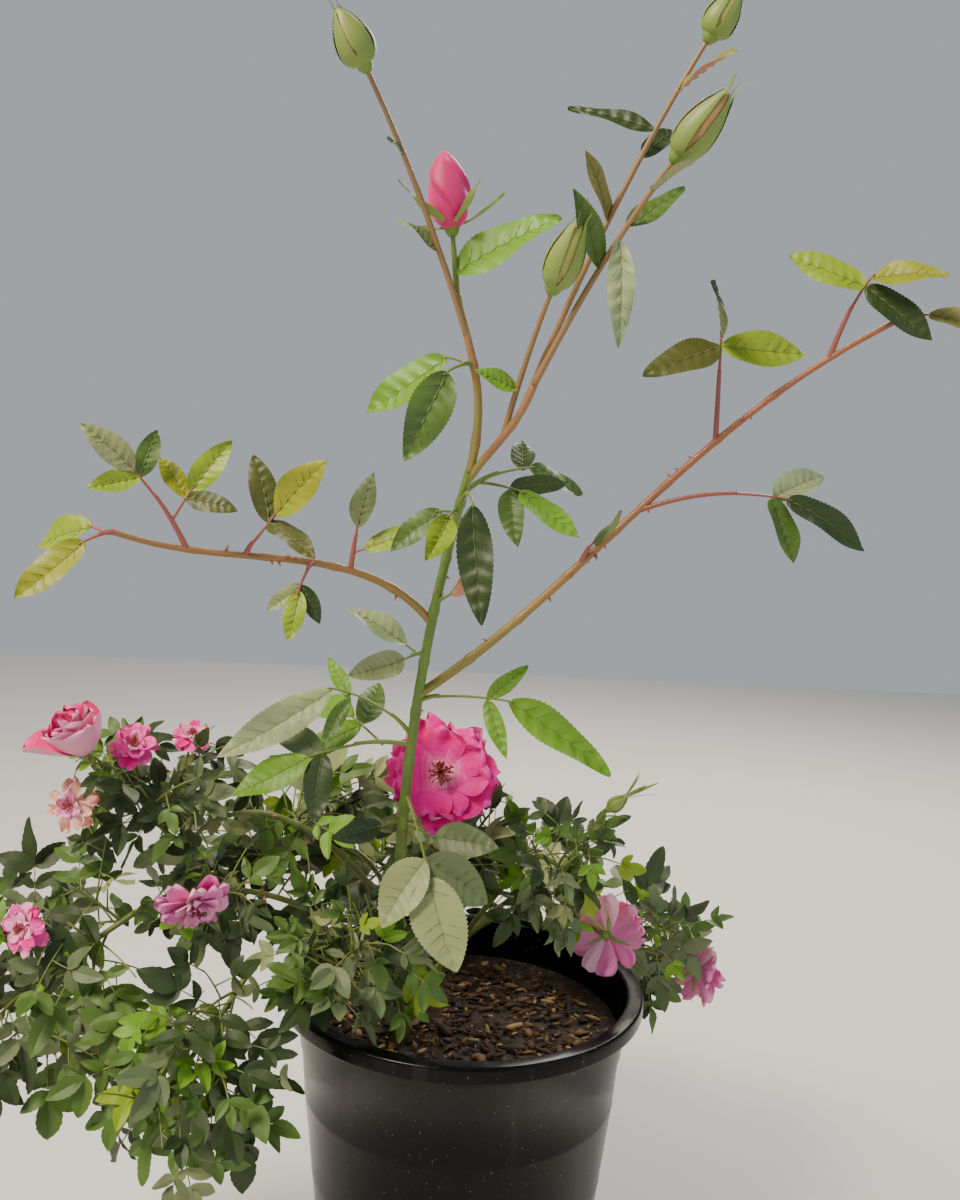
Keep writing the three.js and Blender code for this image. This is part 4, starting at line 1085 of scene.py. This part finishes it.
def makeCane(name, limb, material, seed):
    shares = np.linspace(0, 1, math.ceil(limb["length"] / canes["spacing"]))
    centres = alongCurve(limb["curve"], shares)
    kept = centres[:, 2] > soil["top"] - canes["soilSink"]
    shares, centres = shares[kept], centres[kept]
    unit, tangents = ringsAround(centres[None], np.ones((1, len(shares))), canes["sides"])
    radius = limb["radiusAt"](shares)
    beat = (shares * limb["length"] + seed * 7) % canes["budSpacing"] - canes["budSpacing"] / 2
    swelling = canes["swelling"] * np.exp(-(beat / canes["swellingLength"]) ** 2)
    middle = centres[None, :, None]
    around = middle + (unit - middle) * radius[None, :, None, None]
    coarse, fine = canes["waves"]
    waves = unevenness(around, seed, coarse) + canes["fineShare"] * unevenness(around, seed + 50, fine)
    widths = (radius * (1 + swelling))[None, :, None, None] * (1 + canes["unevenness"] * waves)[..., None]
    tip = centres[None, -1] + tangents[:, -1] * radius[-1] * canes["tipRound"]
    piece = makePiece(name + "_bark", (middle + (unit - middle) * widths, centres[None, 0], tip), [material])
    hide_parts(name)


# Prickles: short hooked cones, their wide foot on the bark and their point bent down
prickles = {"spacing": 26, "length": (2.6, 4.2), "width": 1.3, "widths": (0.7, 1.1), "point": 0.12,
            "hook": 0.45, "bend": 0.6, "sink": 0.8, "reach": (0.06, 0.97), "aboveSoil": 10}


def addPrickles(names, seed):
    rng = np.random.default_rng(seed)
    curves, radii = [], []
    for name in names:
        limb = limbs[name]
        for share in np.sort(rng.uniform(*prickles["reach"], int(limb["length"] / prickles["spacing"]))):
            tangent = curveTangent(limb["curve"], share)
            out = leaning(tangent, rng.uniform(0, 2 * math.pi), math.pi / 2)
            length = rng.uniform(*prickles["length"])
            foot = alongCurve(limb["curve"], share) + out * limb["radiusAt"](share) * prickles["sink"]
            if foot[2] > soil["top"] + prickles["aboveSoil"]:
                bend = foot + out * length * prickles["bend"]
                point = bend + out * length * (1 - prickles["bend"]) - tangent * length * prickles["hook"]
                curves.append([foot, bend, point])
                radii.append((prickles["width"] * rng.uniform(*prickles["widths"]), prickles["point"]))
    finish = plainMaterial("prickle", "8c4a2c", 0.45, coat=0.1)
    makeTwigs("cane_prickles", curves, radii, 6, 6, finish, "cane_bark")


def addCanes():
    relief = {"scale": 260, "strength": 0.2, "distance": 0.0003, "roughScale": 60}
    finishes = {key: layeredMaterial(key + "Cane", *look, (0.36, 0.6), relief, coat=0.1)
                for key, look in caneFinishes.items()}
    for seed, (name, limb) in enumerate(limbs.items()):
        makeCane(name, limb, finishes[caneLooks.get(name, "low")], seed)
    addPrickles(["main_cane", "right_arching_cane", "left_arching_cane", "low_left_bloom_cane",
                 "low_left_outer_cane", "big_bloom_cane"], 29)


crownForm = {"stations": 28, "sides": 32, "shoulder": 0.86, "fall": 5, "most": 1.04, "least": 0.05,
             "knobs": ((0.1, 16), (0.05, 5))}


# Crown stub: a turned waist with knobs where canes were cut, which narrows to its top like an arc
def addCrown():
    stations, sides, shoulder, fall = (crownForm[key] for key in ("stations", "sides", "shoulder", "fall"))
    share, height = np.linspace(0, 1, stations), crownStem["heights"][-1]
    widths = np.interp(share * height, crownStem["heights"], crownStem["radii"])
    falling = crownForm["most"] - np.maximum(share - shoulder, 0) * fall
    widths = widths * np.sqrt(np.clip(falling, crownForm["least"], 1))
    centres = np.zeros((1, stations, 3)) + vector((*crownStem["at"], 0))
    centres[..., 2] = soil["top"] - 1 + share * (height + 1)
    rings, starts, ends = tubesAround(centres, widths[None], sides)
    middle = centres[:, :, None]
    rough = 1
    for seed, (size, width) in enumerate(crownForm["knobs"], 3):
        rough = rough + size * unevenness(rings, seed, width)
    bark = layeredMaterial("oldWood", "6a5437", [
        ("8c7a58", 60, 0.45, 0.65, 0.8), ("3c2c1c", 30, 0.5, 0.7, 0.8)],
        (0.7, 0.95), {"scale": 240, "strength": 0.7, "distance": 0.001, "roughScale": 50})
    piece = makePiece("crown_bark", (middle + (rings - middle) * rough[..., None], starts, ends), [bark])
    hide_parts("crown_stem")


# An arc of a profile from one angle to another, in degrees
def arc(centre, radius, start, end, steps=6):
    angles = np.radians(np.linspace(start, end, steps))
    return [(centre[0] + radius * math.cos(a), centre[1] + radius * math.sin(a)) for a in angles]


def wallAt(height):
    return pot["base"] + (pot["wallTop"] - pot["base"]) * height / pot["height"]


# A profile of radius and height pairs carried round the upright axis
def turned(profile, sides):
    profile = np.array(profile, float)
    angles = np.arange(sides) * 2 * math.pi / sides
    rings = np.stack([profile[:, :1] * np.cos(angles), profile[:, :1] * np.sin(angles),
                      np.repeat(profile[:, 1:], sides, 1)], -1)
    return rings[None]


def onAxis(height):
    return np.array([[0, 0, height]], float)


potFinish = {"sides": 160, "seams": (60, 132, 196), "seamProfile": ((-2, 0), (0, 0.35), (2, 0)),
             "wobble": 0.0012, "wobbleLength": 190, "upright": 0.2, "footRing": 14, "innerRing": 120,
             "underLip": ((-0.2, -0.6), (0.8, 0))}


# Pot: outer wall from the foot up over the rolled lip and down the inner wall to the floor, a little
# out of round by a slow unevenness
def addPot():
    top, base, wall, lip, foot = (pot[key] for key in ("height", "base", "wall", "lipRound", "footRound"))
    lipFoot, step, size = top - pot["lipDepth"], top - pot["stepDrop"], pot["stepSize"]
    outer, inner = pot["rimRadius"], wallAt(top) - wall
    seams = [(wallAt(height + shift) + swell, height + shift) for height in potFinish["seams"]
             for shift, swell in potFinish["seamProfile"]]
    underLip = [(wallAt(lipFoot) + out, lipFoot + rise) for out, rise in potFinish["underLip"]]
    innerWall = [(wallAt(height) - wall, height) for height in (step, potFinish["innerRing"])]
    profile = [
        (base - potFinish["footRing"], 0.0), (base - foot, 0.0), *arc((base - foot, foot), foot, -90, 0),
        *seams, (wallAt(step) - size, step), (wallAt(step), step + size), *underLip,
        *arc((outer - lip, lipFoot + lip), lip, -90, 0), *arc((outer - lip, top - lip), lip, 0, 90),
        *arc((inner + lip, top - lip), lip, 90, 180), *innerWall,
        (wallAt(pot["floor"]) - wall - size, pot["floor"])]
    rings = turned(profile, potFinish["sides"])
    flattened = rings * np.array([1, 1, potFinish["upright"]])
    wobble = 1 + potFinish["wobble"] * unevenness(flattened, 9, potFinish["wobbleLength"])
    rings[..., :2] *= wobble[..., None]
    plastic = layeredMaterial("potPlastic", "040506", [
        ("08090a", 9, 0.42, 0.62, 0.7), ("3c3a38", 26, 0.62, 0.8, 0.12), ("8a8880", 420, 0.68, 0.73, 0.4),
        ("3c3a37", 60, 0.62, 0.7, 0.16, (1, 1, 0.08))],
        (0.14, 0.3), {"scale": 130, "strength": 0.1, "distance": 0.0006, "roughScale": 30}, specular=0.14)
    piece = makePiece("pot_shell", (rings, onAxis(0), onAxis(pot["floor"])), [plastic])
    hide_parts("pot")


mixFinish = {"rings": 60, "sides": 180, "innermost": 1.5, "lumps": ((1.3, 34), (0.9, 11), (0.5, 4)),
             "edgeFade": 8, "plugWallAt": 20, "plugGap": 2, "plugLift": 1, "waist": 180, "waistGap": 4,
             "edgeBand": 2, "middleLift": 0.5}


# Potting mix: rings from the rim of the plug to its middle, raised by unevenness, on a plain plug below
def addSoil():
    edge = soil["top"] + soil["edgeRise"]
    rim = wallAt(edge) - pot["wall"] - pot["stepSize"] - soil["gap"]
    radii = np.linspace(rim, mixFinish["innermost"], mixFinish["rings"])
    heights = np.interp(radii, [soil["flatRadius"], rim], [soil["top"], edge])
    foot = pot["floor"] + mixFinish["plugLift"]
    base = [(wallAt(mixFinish["plugWallAt"]) - pot["wall"] - mixFinish["plugGap"], foot),
            (rim - mixFinish["waistGap"], mixFinish["waist"]), (rim, edge - mixFinish["edgeBand"])]
    rings = turned(base + list(zip(radii, heights)), mixFinish["sides"])
    flat = rings[:, len(base):]
    lump = sum(size * unevenness(flat, 5 + k, width) for k, (size, width) in enumerate(mixFinish["lumps"]))
    flat[..., 2] += lump * np.minimum(1, (rim - radii) / mixFinish["edgeFade"])[None, :, None]
    mix = layeredMaterial("pottingMix", "2b1e15", [
        ("4c3826", 90, 0.45, 0.65, 0.8), ("140e0a", 160, 0.5, 0.62, 0.8), ("7a5c3c", 300, 0.62, 0.7, 0.7)],
        (0.8, 1.0), {"scale": 420, "strength": 0.9, "distance": 0.0014, "roughScale": 80})
    poles = (onAxis(foot), onAxis(soil["top"] + mixFinish["middleLift"]))
    piece = makePiece("potting_mix_top", (rings, *poles), [mix])
    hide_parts("soil")
    addChips(rim)


# Bark chips: short flat tubes of five sides lying on the mix, in four browns
chips = {"count": 1500, "stations": 4, "sides": 5, "colours": ("2e2016", "4c3622", "745636", "a0825a"),
         "shares": (0.42, 0.3, 0.18, 0.1), "taper": (0.6, 1, 0.95, 0.5), "rimGap": 7, "crownGap": 3,
         "height": (0.2, 2.6), "width": 0.24, "jitter": 0.25, "flatness": (1, 1, 0.45),
         "level": (1, 1, 0.25), "length": (3.0, 1.5), "least": 2, "widths": (0.7, 1.3)}


def addChips(rim):
    rng = np.random.default_rng(41)
    count, stations, sides = chips["count"], chips["stations"], chips["sides"]
    radius = np.sqrt(rng.uniform(0, 1, count)) * (rim - chips["rimGap"])
    angle = rng.uniform(0, 2 * math.pi, count)
    middle = np.stack([radius * np.cos(angle), radius * np.sin(angle),
                       soil["top"] + rng.uniform(*chips["height"], count)], -1)
    away = np.linalg.norm(middle[:, :2] - vector(crownStem["at"]), axis=1)
    middle = middle[away > crownStem["radii"][0] + chips["crownGap"]]
    count = len(middle)
    heading = normalised(rng.normal(size=(count, 3)) * np.array(chips["level"]))
    length = rng.gamma(*chips["length"], (count, 1)) + chips["least"]
    along = np.linspace(-0.5, 0.5, stations)[:, None] * length[:, None]
    widths = length * chips["width"] * np.array(chips["taper"]) * rng.uniform(*chips["widths"], (count, 1))
    rings, starts, ends = tubesAround(middle[:, None] + heading[:, None] * along, widths, sides)
    rings = rings + rng.normal(0, chips["jitter"], rings.shape)
    middle = middle[:, None, None]
    rings = middle + (rings - middle) * np.array(chips["flatness"])
    materials = [plainMaterial(f"barkChip{k}", colour, 0.8, specular=0.25)
                 for k, colour in enumerate(chips["colours"])]
    tones = rng.choice(len(materials), count, p=chips["shares"])
    makePiece("bark_chips", (rings, starts, ends), materials,
              bandTones(tones, 1, stations, sides))


# Flowers, in shares of the flower's radius: how far behind its middle the base lies, then whorls of
# petals as count, tilt at the base, tilt at the tip, length, half width and colours dealt in turn
flowerKinds = {
    "hotPink": {"base": 0.2, "stamens": 90, "cup": 0.12, "ruffle": 0.15, "spread": 0.22, "whorls": [
        (8, 1.45, 2.1, 0.98, 0.36, ["hot"]), (7, 1.2, 1.65, 1.0, 0.4, ["hot"]),
        (7, 1.02, 1.3, 0.88, 0.38, ["hot"]), (2, 0.8, 1.3, 0.3, 0.1, ["blush"])]},
    "cup": {"base": 0.8, "stamens": 0, "cup": 0.8, "ruffle": 0.05, "spread": 0.1, "whorls": [
        (3, 1.2, 0.1, 1.5, 0.74, ["goblet"]), (3, 1.05, -0.05, 1.45, 0.66, ["goblet"]),
        (3, 0.85, -0.1, 1.35, 0.56, ["goblet"]), (1, 1.25, 0.75, 1.5, 0.7, ["goblet"]),
        (3, 0.5, -0.1, 1.25, 0.4, ["goblet"])]},
    "pink": {"base": 0.3, "stamens": 24, "cup": 0.34, "ruffle": 0.12, "spread": 0.26, "whorls": [
        (6, 1.3, 1.8, 1.0, 0.38, ["rose", "hot"]), (5, 0.95, 1.3, 0.88, 0.38, ["rose"]),
        (4, 0.55, 0.9, 0.66, 0.28, ["blush", "rose"])]},
    # On palePink and lilac, the paler and deeper colour sets dealt in turn from petal to petal are partly
    # painted highlight and painted shade on the petal backs
    "palePink": {"base": 0.24, "stamens": 26, "cup": 0.36, "ruffle": 0.1, "spread": 0.36, "whorls": [
        (7, 1.5, 2.0, 1.0, 0.31, ["rose", "hot", "blush"]), (7, 1.2, 1.6, 0.98, 0.3, ["hot", "rose"]),
        (6, 0.9, 1.3, 0.76, 0.27, ["blush"]), (4, 0.5, 0.9, 0.5, 0.2, ["blush"])]},
    "lilac": {"base": 0.3, "stamens": 20, "cup": 0.45, "ruffle": 0.09, "spread": 0.24, "whorls": [
        (7, 1.35, 1.95, 1.0, 0.31, ["lilac", "rose"]), (7, 1.05, 1.5, 0.92, 0.3, ["lilac", "blush"]),
        (5, 0.75, 1.15, 0.7, 0.25, ["blush"]), (4, 0.4, 0.8, 0.48, 0.2, ["lilac"])]},
    "spent": {"base": 0.3, "stamens": 20, "cup": 0.5, "ruffle": 0.2, "spread": 0.3, "whorls": [
        (5, 1.3, 2.2, 0.95, 0.33, ["faded"]), (5, 1.0, 1.8, 0.85, 0.3, ["faded"]),
        (4, 0.5, 1.2, 0.6, 0.27, ["blush"])]},
}
# Petal colours from the base to the tip, and last the back of the petal
petalColours = {
    "hot": ("f6cccc", "ec62a4", "e2148a", "de007c", "e83aa0", "f07cbc"),
    "goblet": ("f2a0c4", "e83c96", "e2147c", "e6207e", "ee4c9a", "dc90b0"),
    "rose": ("f6d4dc", "f094c4", "e84ca4", "e44098", "ee70b2", "e888b8"),
    "blush": ("f6e0dc", "f4b8cc", "ee8cbc", "ee90bc", "f2a8c8", "f2b4cc"),
    "lilac": ("f2d4e0", "e896c0", "e06cac", "de6cae", "e88cc0", "dc7cb4"),
    "faded": ("f0dcc4", "f0c8b8", "eeb4a8", "eaa89c", "e69a88", "eec8b0"),
}
petalForm = {"stations": 19, "columns": 11, "bands": 9, "thickness": 0.4, "notch": 0.05, "scallop": 0.05,
             "turn": 0.6, "step": 0.12, "lengths": (0.86, 1.04), "widths": (0.88, 1.12), "leastBend": 0.02,
             "waves": (4.2, 9), "fineWave": 0.5, "calm": 0.4, "scallops": 6, "notchWidth": 0.25}


# The three directions of a flower: two across it and its axis
def flowerFrame(facing):
    axis = normalised(facing)
    first = normalised(np.cross(axis, rightward if abs(axis[2]) > steep else up))
    return first, np.cross(axis, first), axis


# Petals as closed sheets: the middle line leaves the base at one tilt from the axis and bends to
# another, the sheet is cupped by the square of the way across, and its rim is ruffled and scalloped
def petalTubes(flower, rng):
    kind, size = flowerKinds[flower["kind"]], flower["radius"]
    colours = list(petalColours)
    rows = [(k * 2 * math.pi / count + order * petalForm["turn"], tilt, bend, length, width,
             colours.index(names[k % len(names)]), order)
            for order, (count, tilt, bend, length, width, names) in enumerate(kind["whorls"])
            for k in range(count)]
    shape = (len(rows), 1, 1)
    turn, tilt, bend, length, width, tone, order = [column.reshape(shape) for column in np.array(rows).T]
    turn, tilt, bend = (value + rng.uniform(-kind["spread"], kind["spread"], shape)
                        for value in (turn, tilt, bend))
    least = petalForm["leastBend"]
    bend = np.where(np.abs(bend - tilt) < least, least, bend - tilt)
    length = length * size * rng.uniform(*petalForm["lengths"], shape)
    width = width * size * rng.uniform(*petalForm["widths"], shape)
    phase = rng.uniform(0, 2 * math.pi, shape)
    first, second, axis = flowerFrame(flower["facing"])
    radial, lateral = turnedBy(first, second, turn), turnedBy(second, -first, turn)
    base = flower["at"] - axis * kind["base"] * size
    (broad, fine), calm = petalForm["waves"], petalForm["calm"]

    def surface(u, v, face):
        angle = tilt + bend * u
        half = (1 - (1 - u) ** 2) ** 0.9 * np.sqrt(1 - u ** 5)
        wave = np.sin(broad * v + phase) + petalForm["fineWave"] * np.sin(fine * v + 2 * phase)
        ruffle = kind["ruffle"] * size * u ** 3 * wave * (calm + (1 - calm) * np.abs(v))
        lift = kind["cup"] * width * half ** 2 * v ** 2 + ruffle + petalForm["thickness"] / 2 * face
        edge = petalForm["scallop"] * np.sin(petalForm["scallops"] * v + 3 * phase)
        edge = edge - petalForm["notch"] * np.exp(-(v / petalForm["notchWidth"]) ** 2)
        outward = length * (np.cos(tilt) - np.cos(angle)) / bend
        upward = length * (np.sin(angle) - np.sin(tilt)) / bend
        ahead, inward = turnedBy(axis, radial, angle), turnedBy(-radial, axis, angle)
        return (base + radial * outward[..., None] + axis * upward[..., None]
                + lateral * (half * width * v)[..., None] + inward * lift[..., None]
                + ahead * (edge * length * u ** 6)[..., None])

    u = middleShares(petalForm["stations"])[None, :, None]
    v, face = sheetSides(petalForm["columns"])
    tips = surface(np.ones((1, 1, 1)), np.zeros((1, 1, 1)), 0)[:, 0, 0]
    roots = base + axis * order[:, 0] * petalForm["step"]
    return surface(u, v, face), roots, tips, tone.ravel().astype(int)


sepalCount = 5
sepalForm = {"turn": 0.2, "lean": 0.3, "seat": 1.2, "lengths": (0.8, 1.15), "width": 0.14}


# Sepals stand out from a base at a tilt from the axis and droop a little
def sepalLeaves(base, frame, length, tilt, droop, rng):
    first, second, axis = frame
    leaves = []
    for k in range(sepalCount):
        turn = k * 2 * math.pi / sepalCount + rng.uniform(-sepalForm["turn"], sepalForm["turn"])
        radial = first * math.cos(turn) + second * math.sin(turn)
        lean = tilt + rng.uniform(-sepalForm["lean"], sepalForm["lean"])
        heading = normalised(radial * math.sin(lean) + axis * math.cos(lean) - up * droop)
        through = normalised(axis - heading * np.dot(axis, heading) + radial * 0.001)
        leaves.append(newLeaf(base + radial * sepalForm["seat"], heading, np.cross(through, heading),
                              through, length * rng.uniform(*sepalForm["lengths"]), sepalForm["width"]))
    return leaves


urn = {"stations": 9, "sides": 12, "shares": (0, 0.25, 0.6, 0.85, 1), "widths": (0.45, 0.8, 1.0, 0.92, 0.6)}


# Calyx under a flower or bud: a small urn, wider at its shoulder
def urnTubes(base, axis, radius, height):
    shares = np.linspace(0, 1, urn["stations"])
    widths = radius * np.interp(shares, urn["shares"], urn["widths"])
    return tubesAround((base + axis * (shares * height)[:, None])[None], widths[None], urn["sides"])


# Filaments that lean out from the middle, each with a small swollen anther at its end
stamens = {"shares": (0, 0.4, 0.8, 0.88, 0.95, 1), "radii": (0.28, 0.24, 0.22, 0.6, 0.7, 0.4), "sides": 5,
           "lean": (0.1, 0.75), "length": (0.22, 0.34), "seat": 0.6, "tip": 0.3}


def stamenTubes(flower, rng):
    kind = flowerKinds[flower["kind"]]
    first, second, axis = flowerFrame(flower["facing"])
    turn, lean, length = (rng.uniform(*limits, kind["stamens"]) for limits in (
        (0, 2 * math.pi), stamens["lean"], stamens["length"]))
    length = flower["radius"] * length[:, None]
    out = turnedBy(axis, turnedBy(first, second, turn), lean)
    base = flower["at"] - axis * kind["base"] * flower["radius"] * stamens["seat"] + out
    centres = base[:, None] + out[:, None] * (np.array(stamens["shares"])[:, None] * length[:, None])
    widths = np.tile(stamens["radii"], (kind["stamens"], 1))
    rings, starts, ends = tubesAround(centres, widths, stamens["sides"])
    return rings, starts, ends + out * stamens["tip"]


# Bud: a turned drop whose surface rises in three spiral folds, the edges of the wrapped petals
budForm = {"stations": 22, "sides": 42, "fullness": 1.15, "turns": 1.6, "folds": 3,
           "openDepth": 0.2, "closedDepth": 0.06, "urnSeat": 0.4, "sepalSeat": 1.5}


def budRadius(flower, share, widest):
    return outline(np.clip(share, 0.001, 0.999), widest, budForm["fullness"]) * flower["radius"]


def budTubes(flower, widest, depth):
    share = middleShares(budForm["stations"])
    axis = flowerFrame(flower["facing"])[2]
    centres = (flower["at"] + axis * ((share - 0.5) * flower["length"])[:, None])[None]
    angles = np.arange(budForm["sides"]) / budForm["sides"]
    swirl = (angles[None, :] * budForm["folds"] + share[:, None] * budForm["turns"]) % 1
    widths = budRadius(flower, share, widest)[:, None] * (1 - depth * swirl)
    half = axis * flower["length"] / 2
    rings = ringsAround(centres, widths[None], budForm["sides"])[0]
    return rings, (flower["at"] - half)[None], (flower["at"] + half)[None]


# Sepals wrapped round a closed bud: five sheets that follow its outline a little outside it, narrow
# to a point past its tip and stand away from it there
wrap = {"stations": 16, "columns": 5, "sector": 0.72, "lift": 0.5, "reach": 1.22, "flare": 0.34,
        "flareFrom": 0.75, "flares": (0.4, 1.6), "reaches": (0.85, 1.1), "turn": (-0.1, 0.1),
        "thickness": 0.5, "tip": 0.06}


def wrappedTubes(flower, widest, reach, rng):
    shape = (sepalCount, 1, 1)
    u = middleShares(wrap["stations"])[None, :, None]
    v, face = sheetSides(wrap["columns"])
    turn = (np.arange(sepalCount) * 2 * math.pi / sepalCount).reshape(shape)
    turn = turn + rng.uniform(*wrap["turn"], shape)
    share = u * (reach * rng.uniform(*wrap["reaches"], shape))
    away = wrap["flare"] * np.maximum(share - wrap["flareFrom"], 0) ** 1.5
    away = away * rng.uniform(*wrap["flares"], shape)
    radius = budRadius(flower, share, widest) + wrap["lift"] + away * flower["length"]
    sector = wrap["sector"] * (1 - u) ** 0.7 * np.minimum(1, flower["radius"] / (radius + 1))
    angle = turn + v * sector
    radius = radius + face * wrap["thickness"] / 2
    first, second, axis = flowerFrame(flower["facing"])
    base = flower["at"] - axis * flower["length"] / 2
    rings = (base + axis * ((share + 0 * v) * flower["length"])[..., None]
             + turnedBy(first, second, angle) * radius[..., None])
    tips = rings[:, -1].mean(axis=1) + axis * flower["length"] * wrap["tip"]
    return rings, np.repeat(base[None], sepalCount, 0), tips


def joined(parts):
    return [np.concatenate(arrays) for arrays in zip(*parts)]


# Colour of each bud and hip, the share where it is widest, its sepals and the size of its calyx
buds = {
    "pink_bud_top": {"tone": "d4006c", "widest": 0.42, "sepals": (38, 1.4, 0.0), "urn": (4.4, 8)},
    "left_green_bud_top": {"tone": "8c8e40", "widest": 0.34, "urn": (4.6, 9)},
    "right_low_bud_top": {"tone": "8c8e40", "widest": 0.36, "urn": (5.2, 9)},
    "right_middle_bud_top": {"tone": "9a7e48", "widest": 0.36, "urn": (5.2, 9)},
    "right_high_bud_top": {"tone": "8c8e40", "widest": 0.34, "urn": (4.6, 8)},
    "right_hip_mass": {"tone": "98a04a", "widest": 0.36, "reach": 2.3, "urn": (3.2, 6)},
}


# Faces of closed tubes in bands of colour from the base to the tip
def bandTones(tones, bands, stations, ring):
    band = np.arange(stations - 1) * bands // (stations - 1)
    body = tones[:, None, None] * bands + band[None, :, None] + np.zeros((1, 1, ring), int)
    ends = np.repeat(tones * bands, ring)
    return np.concatenate([body.ravel(), ends, ends + bands - 1])


# Petals carry their bands on the inner face and one colour, the last of their set, on the back
def petalTones(tones):
    bands, stations, columns = (petalForm[key] for key in ("bands", "stations", "columns"))
    below = np.arange(2 * columns - 2) >= columns - 1
    band = np.arange(stations + 1) * bands // (stations + 1)
    grid = np.where(below[None, :], bands, band[:, None]) + tones[:, None, None] * (bands + 1)
    return np.concatenate([grid[:, 1:-1].ravel(), grid[:, 0].ravel(), grid[:, -1].ravel()])


# The colours of a petal's bands, blended evenly from its set, and then the colour of its back
def petalMaterials():
    return [plainMaterial(f"petal_{name}_{index}", colour, 0.6, specular=0.2, through=0.12)
            for name, colours in petalColours.items()
            for index, colour in enumerate([*blended(colours[:-1], petalForm["bands"]), colours[-1]])]


flowerBack = {"urn": (3.6, 7), "urnDrop": 6, "sepalLength": 0.7, "sepalTilt": 1.9, "sepalDroop": 0.1}


def addFlowers():
    rng = np.random.default_rng(61)
    petals, threads, urns, sepals = [], [], [], []
    flowers = [flower for node in masses for flower in node["flowers"] if flower["kind"] in flowerKinds]
    for flower in flowers:
        kind, axes = flowerKinds[flower["kind"]], flowerFrame(flower["facing"])
        petals.append(petalTubes(flower, rng))
        if kind["stamens"]:
            threads.append(stamenTubes(flower, rng))
        base = flower["at"] - axes[2] * kind["base"] * flower["radius"]
        urns.append(urnTubes(base - axes[2] * flowerBack["urnDrop"], axes[2], *flowerBack["urn"]))
        sepals += sepalLeaves(base, axes, flower["radius"] * flowerBack["sepalLength"],
                              flowerBack["sepalTilt"], flowerBack["sepalDroop"], rng)
    *sheets, tones = joined(petals)
    makePiece("petals", sheets, petalMaterials(), petalTones(tones),
              sharpLines(len(tones), petalForm["stations"], petalForm["columns"]))
    tubes = joined(threads)
    finishes = [plainMaterial("stamenThread", "c85a7a", 0.6), plainMaterial("stamenHead", "7a3418", 0.7)]
    makePiece("stamens", tubes, finishes,
              bandTones(np.zeros(len(tubes[0]), int), 2, len(stamens["shares"]), stamens["sides"]))
    addBuds(rng, urns, sepals)


def addBuds(rng, urns, sepals):
    bodies, materials, wraps = [], [], []
    closed = [(node["name"], flower) for node in tops + masses for flower in node["flowers"]
              if flower["kind"] in ("bud", "hip")]
    for name, flower in closed:
        look, axes = buds[name], flowerFrame(flower["facing"])
        base = flower["at"] - axes[2] * flower["length"] / 2
        depth = budForm["openDepth" if "sepals" in look else "closedDepth"]
        bodies.append(budTubes(flower, look["widest"], depth))
        materials.append(plainMaterial(name + "_petals", look["tone"], 0.5, sheen=0.2, through=0.1))
        radius, height = look["urn"]
        urns.append(urnTubes(base - axes[2] * height * budForm["urnSeat"], axes[2], radius, height))
        if "sepals" in look:
            sepals += sepalLeaves(base + axes[2] * budForm["sepalSeat"], axes, *look["sepals"], rng)
        else:
            wraps.append(wrappedTubes(flower, look["widest"], look.get("reach", wrap["reach"]), rng))
    makePiece("buds", joined(bodies), materials,
              bandTones(np.arange(len(bodies)), 1, budForm["stations"], budForm["sides"]))
    makePiece("calyx_urns", joined(urns), [plainMaterial("calyx", "6a8230", 0.5)])
    lines = sharpLines(sepalCount * len(wraps), wrap["stations"], wrap["columns"])
    makePiece("wrapped_sepals", joined(wraps), [plainMaterial("wrappedSepal", "74883a", 0.5)],
              sharp=lines)
    form = dict(leafForms["low"], fold=(0.1, 0.3), curl=(-0.3, 0.3), tooth=0.0, fullness=1.7, widest=0.26,
                stations=15, thickness=0.03)
    makeLeaves("sepals", stacked(sepals), np.zeros(len(sepals), int), form,
               leafMaterials("sepal", {"green": ("5f7c28", "8a9c54")}, 0.5), 71)
    print("flowers and buds:", len(urns))


addStudio()
addUpperLeaves()
addLowLeaves()
addTwigs()
addCanes()
addCrown()
addPot()
addSoil()
addFlowers()
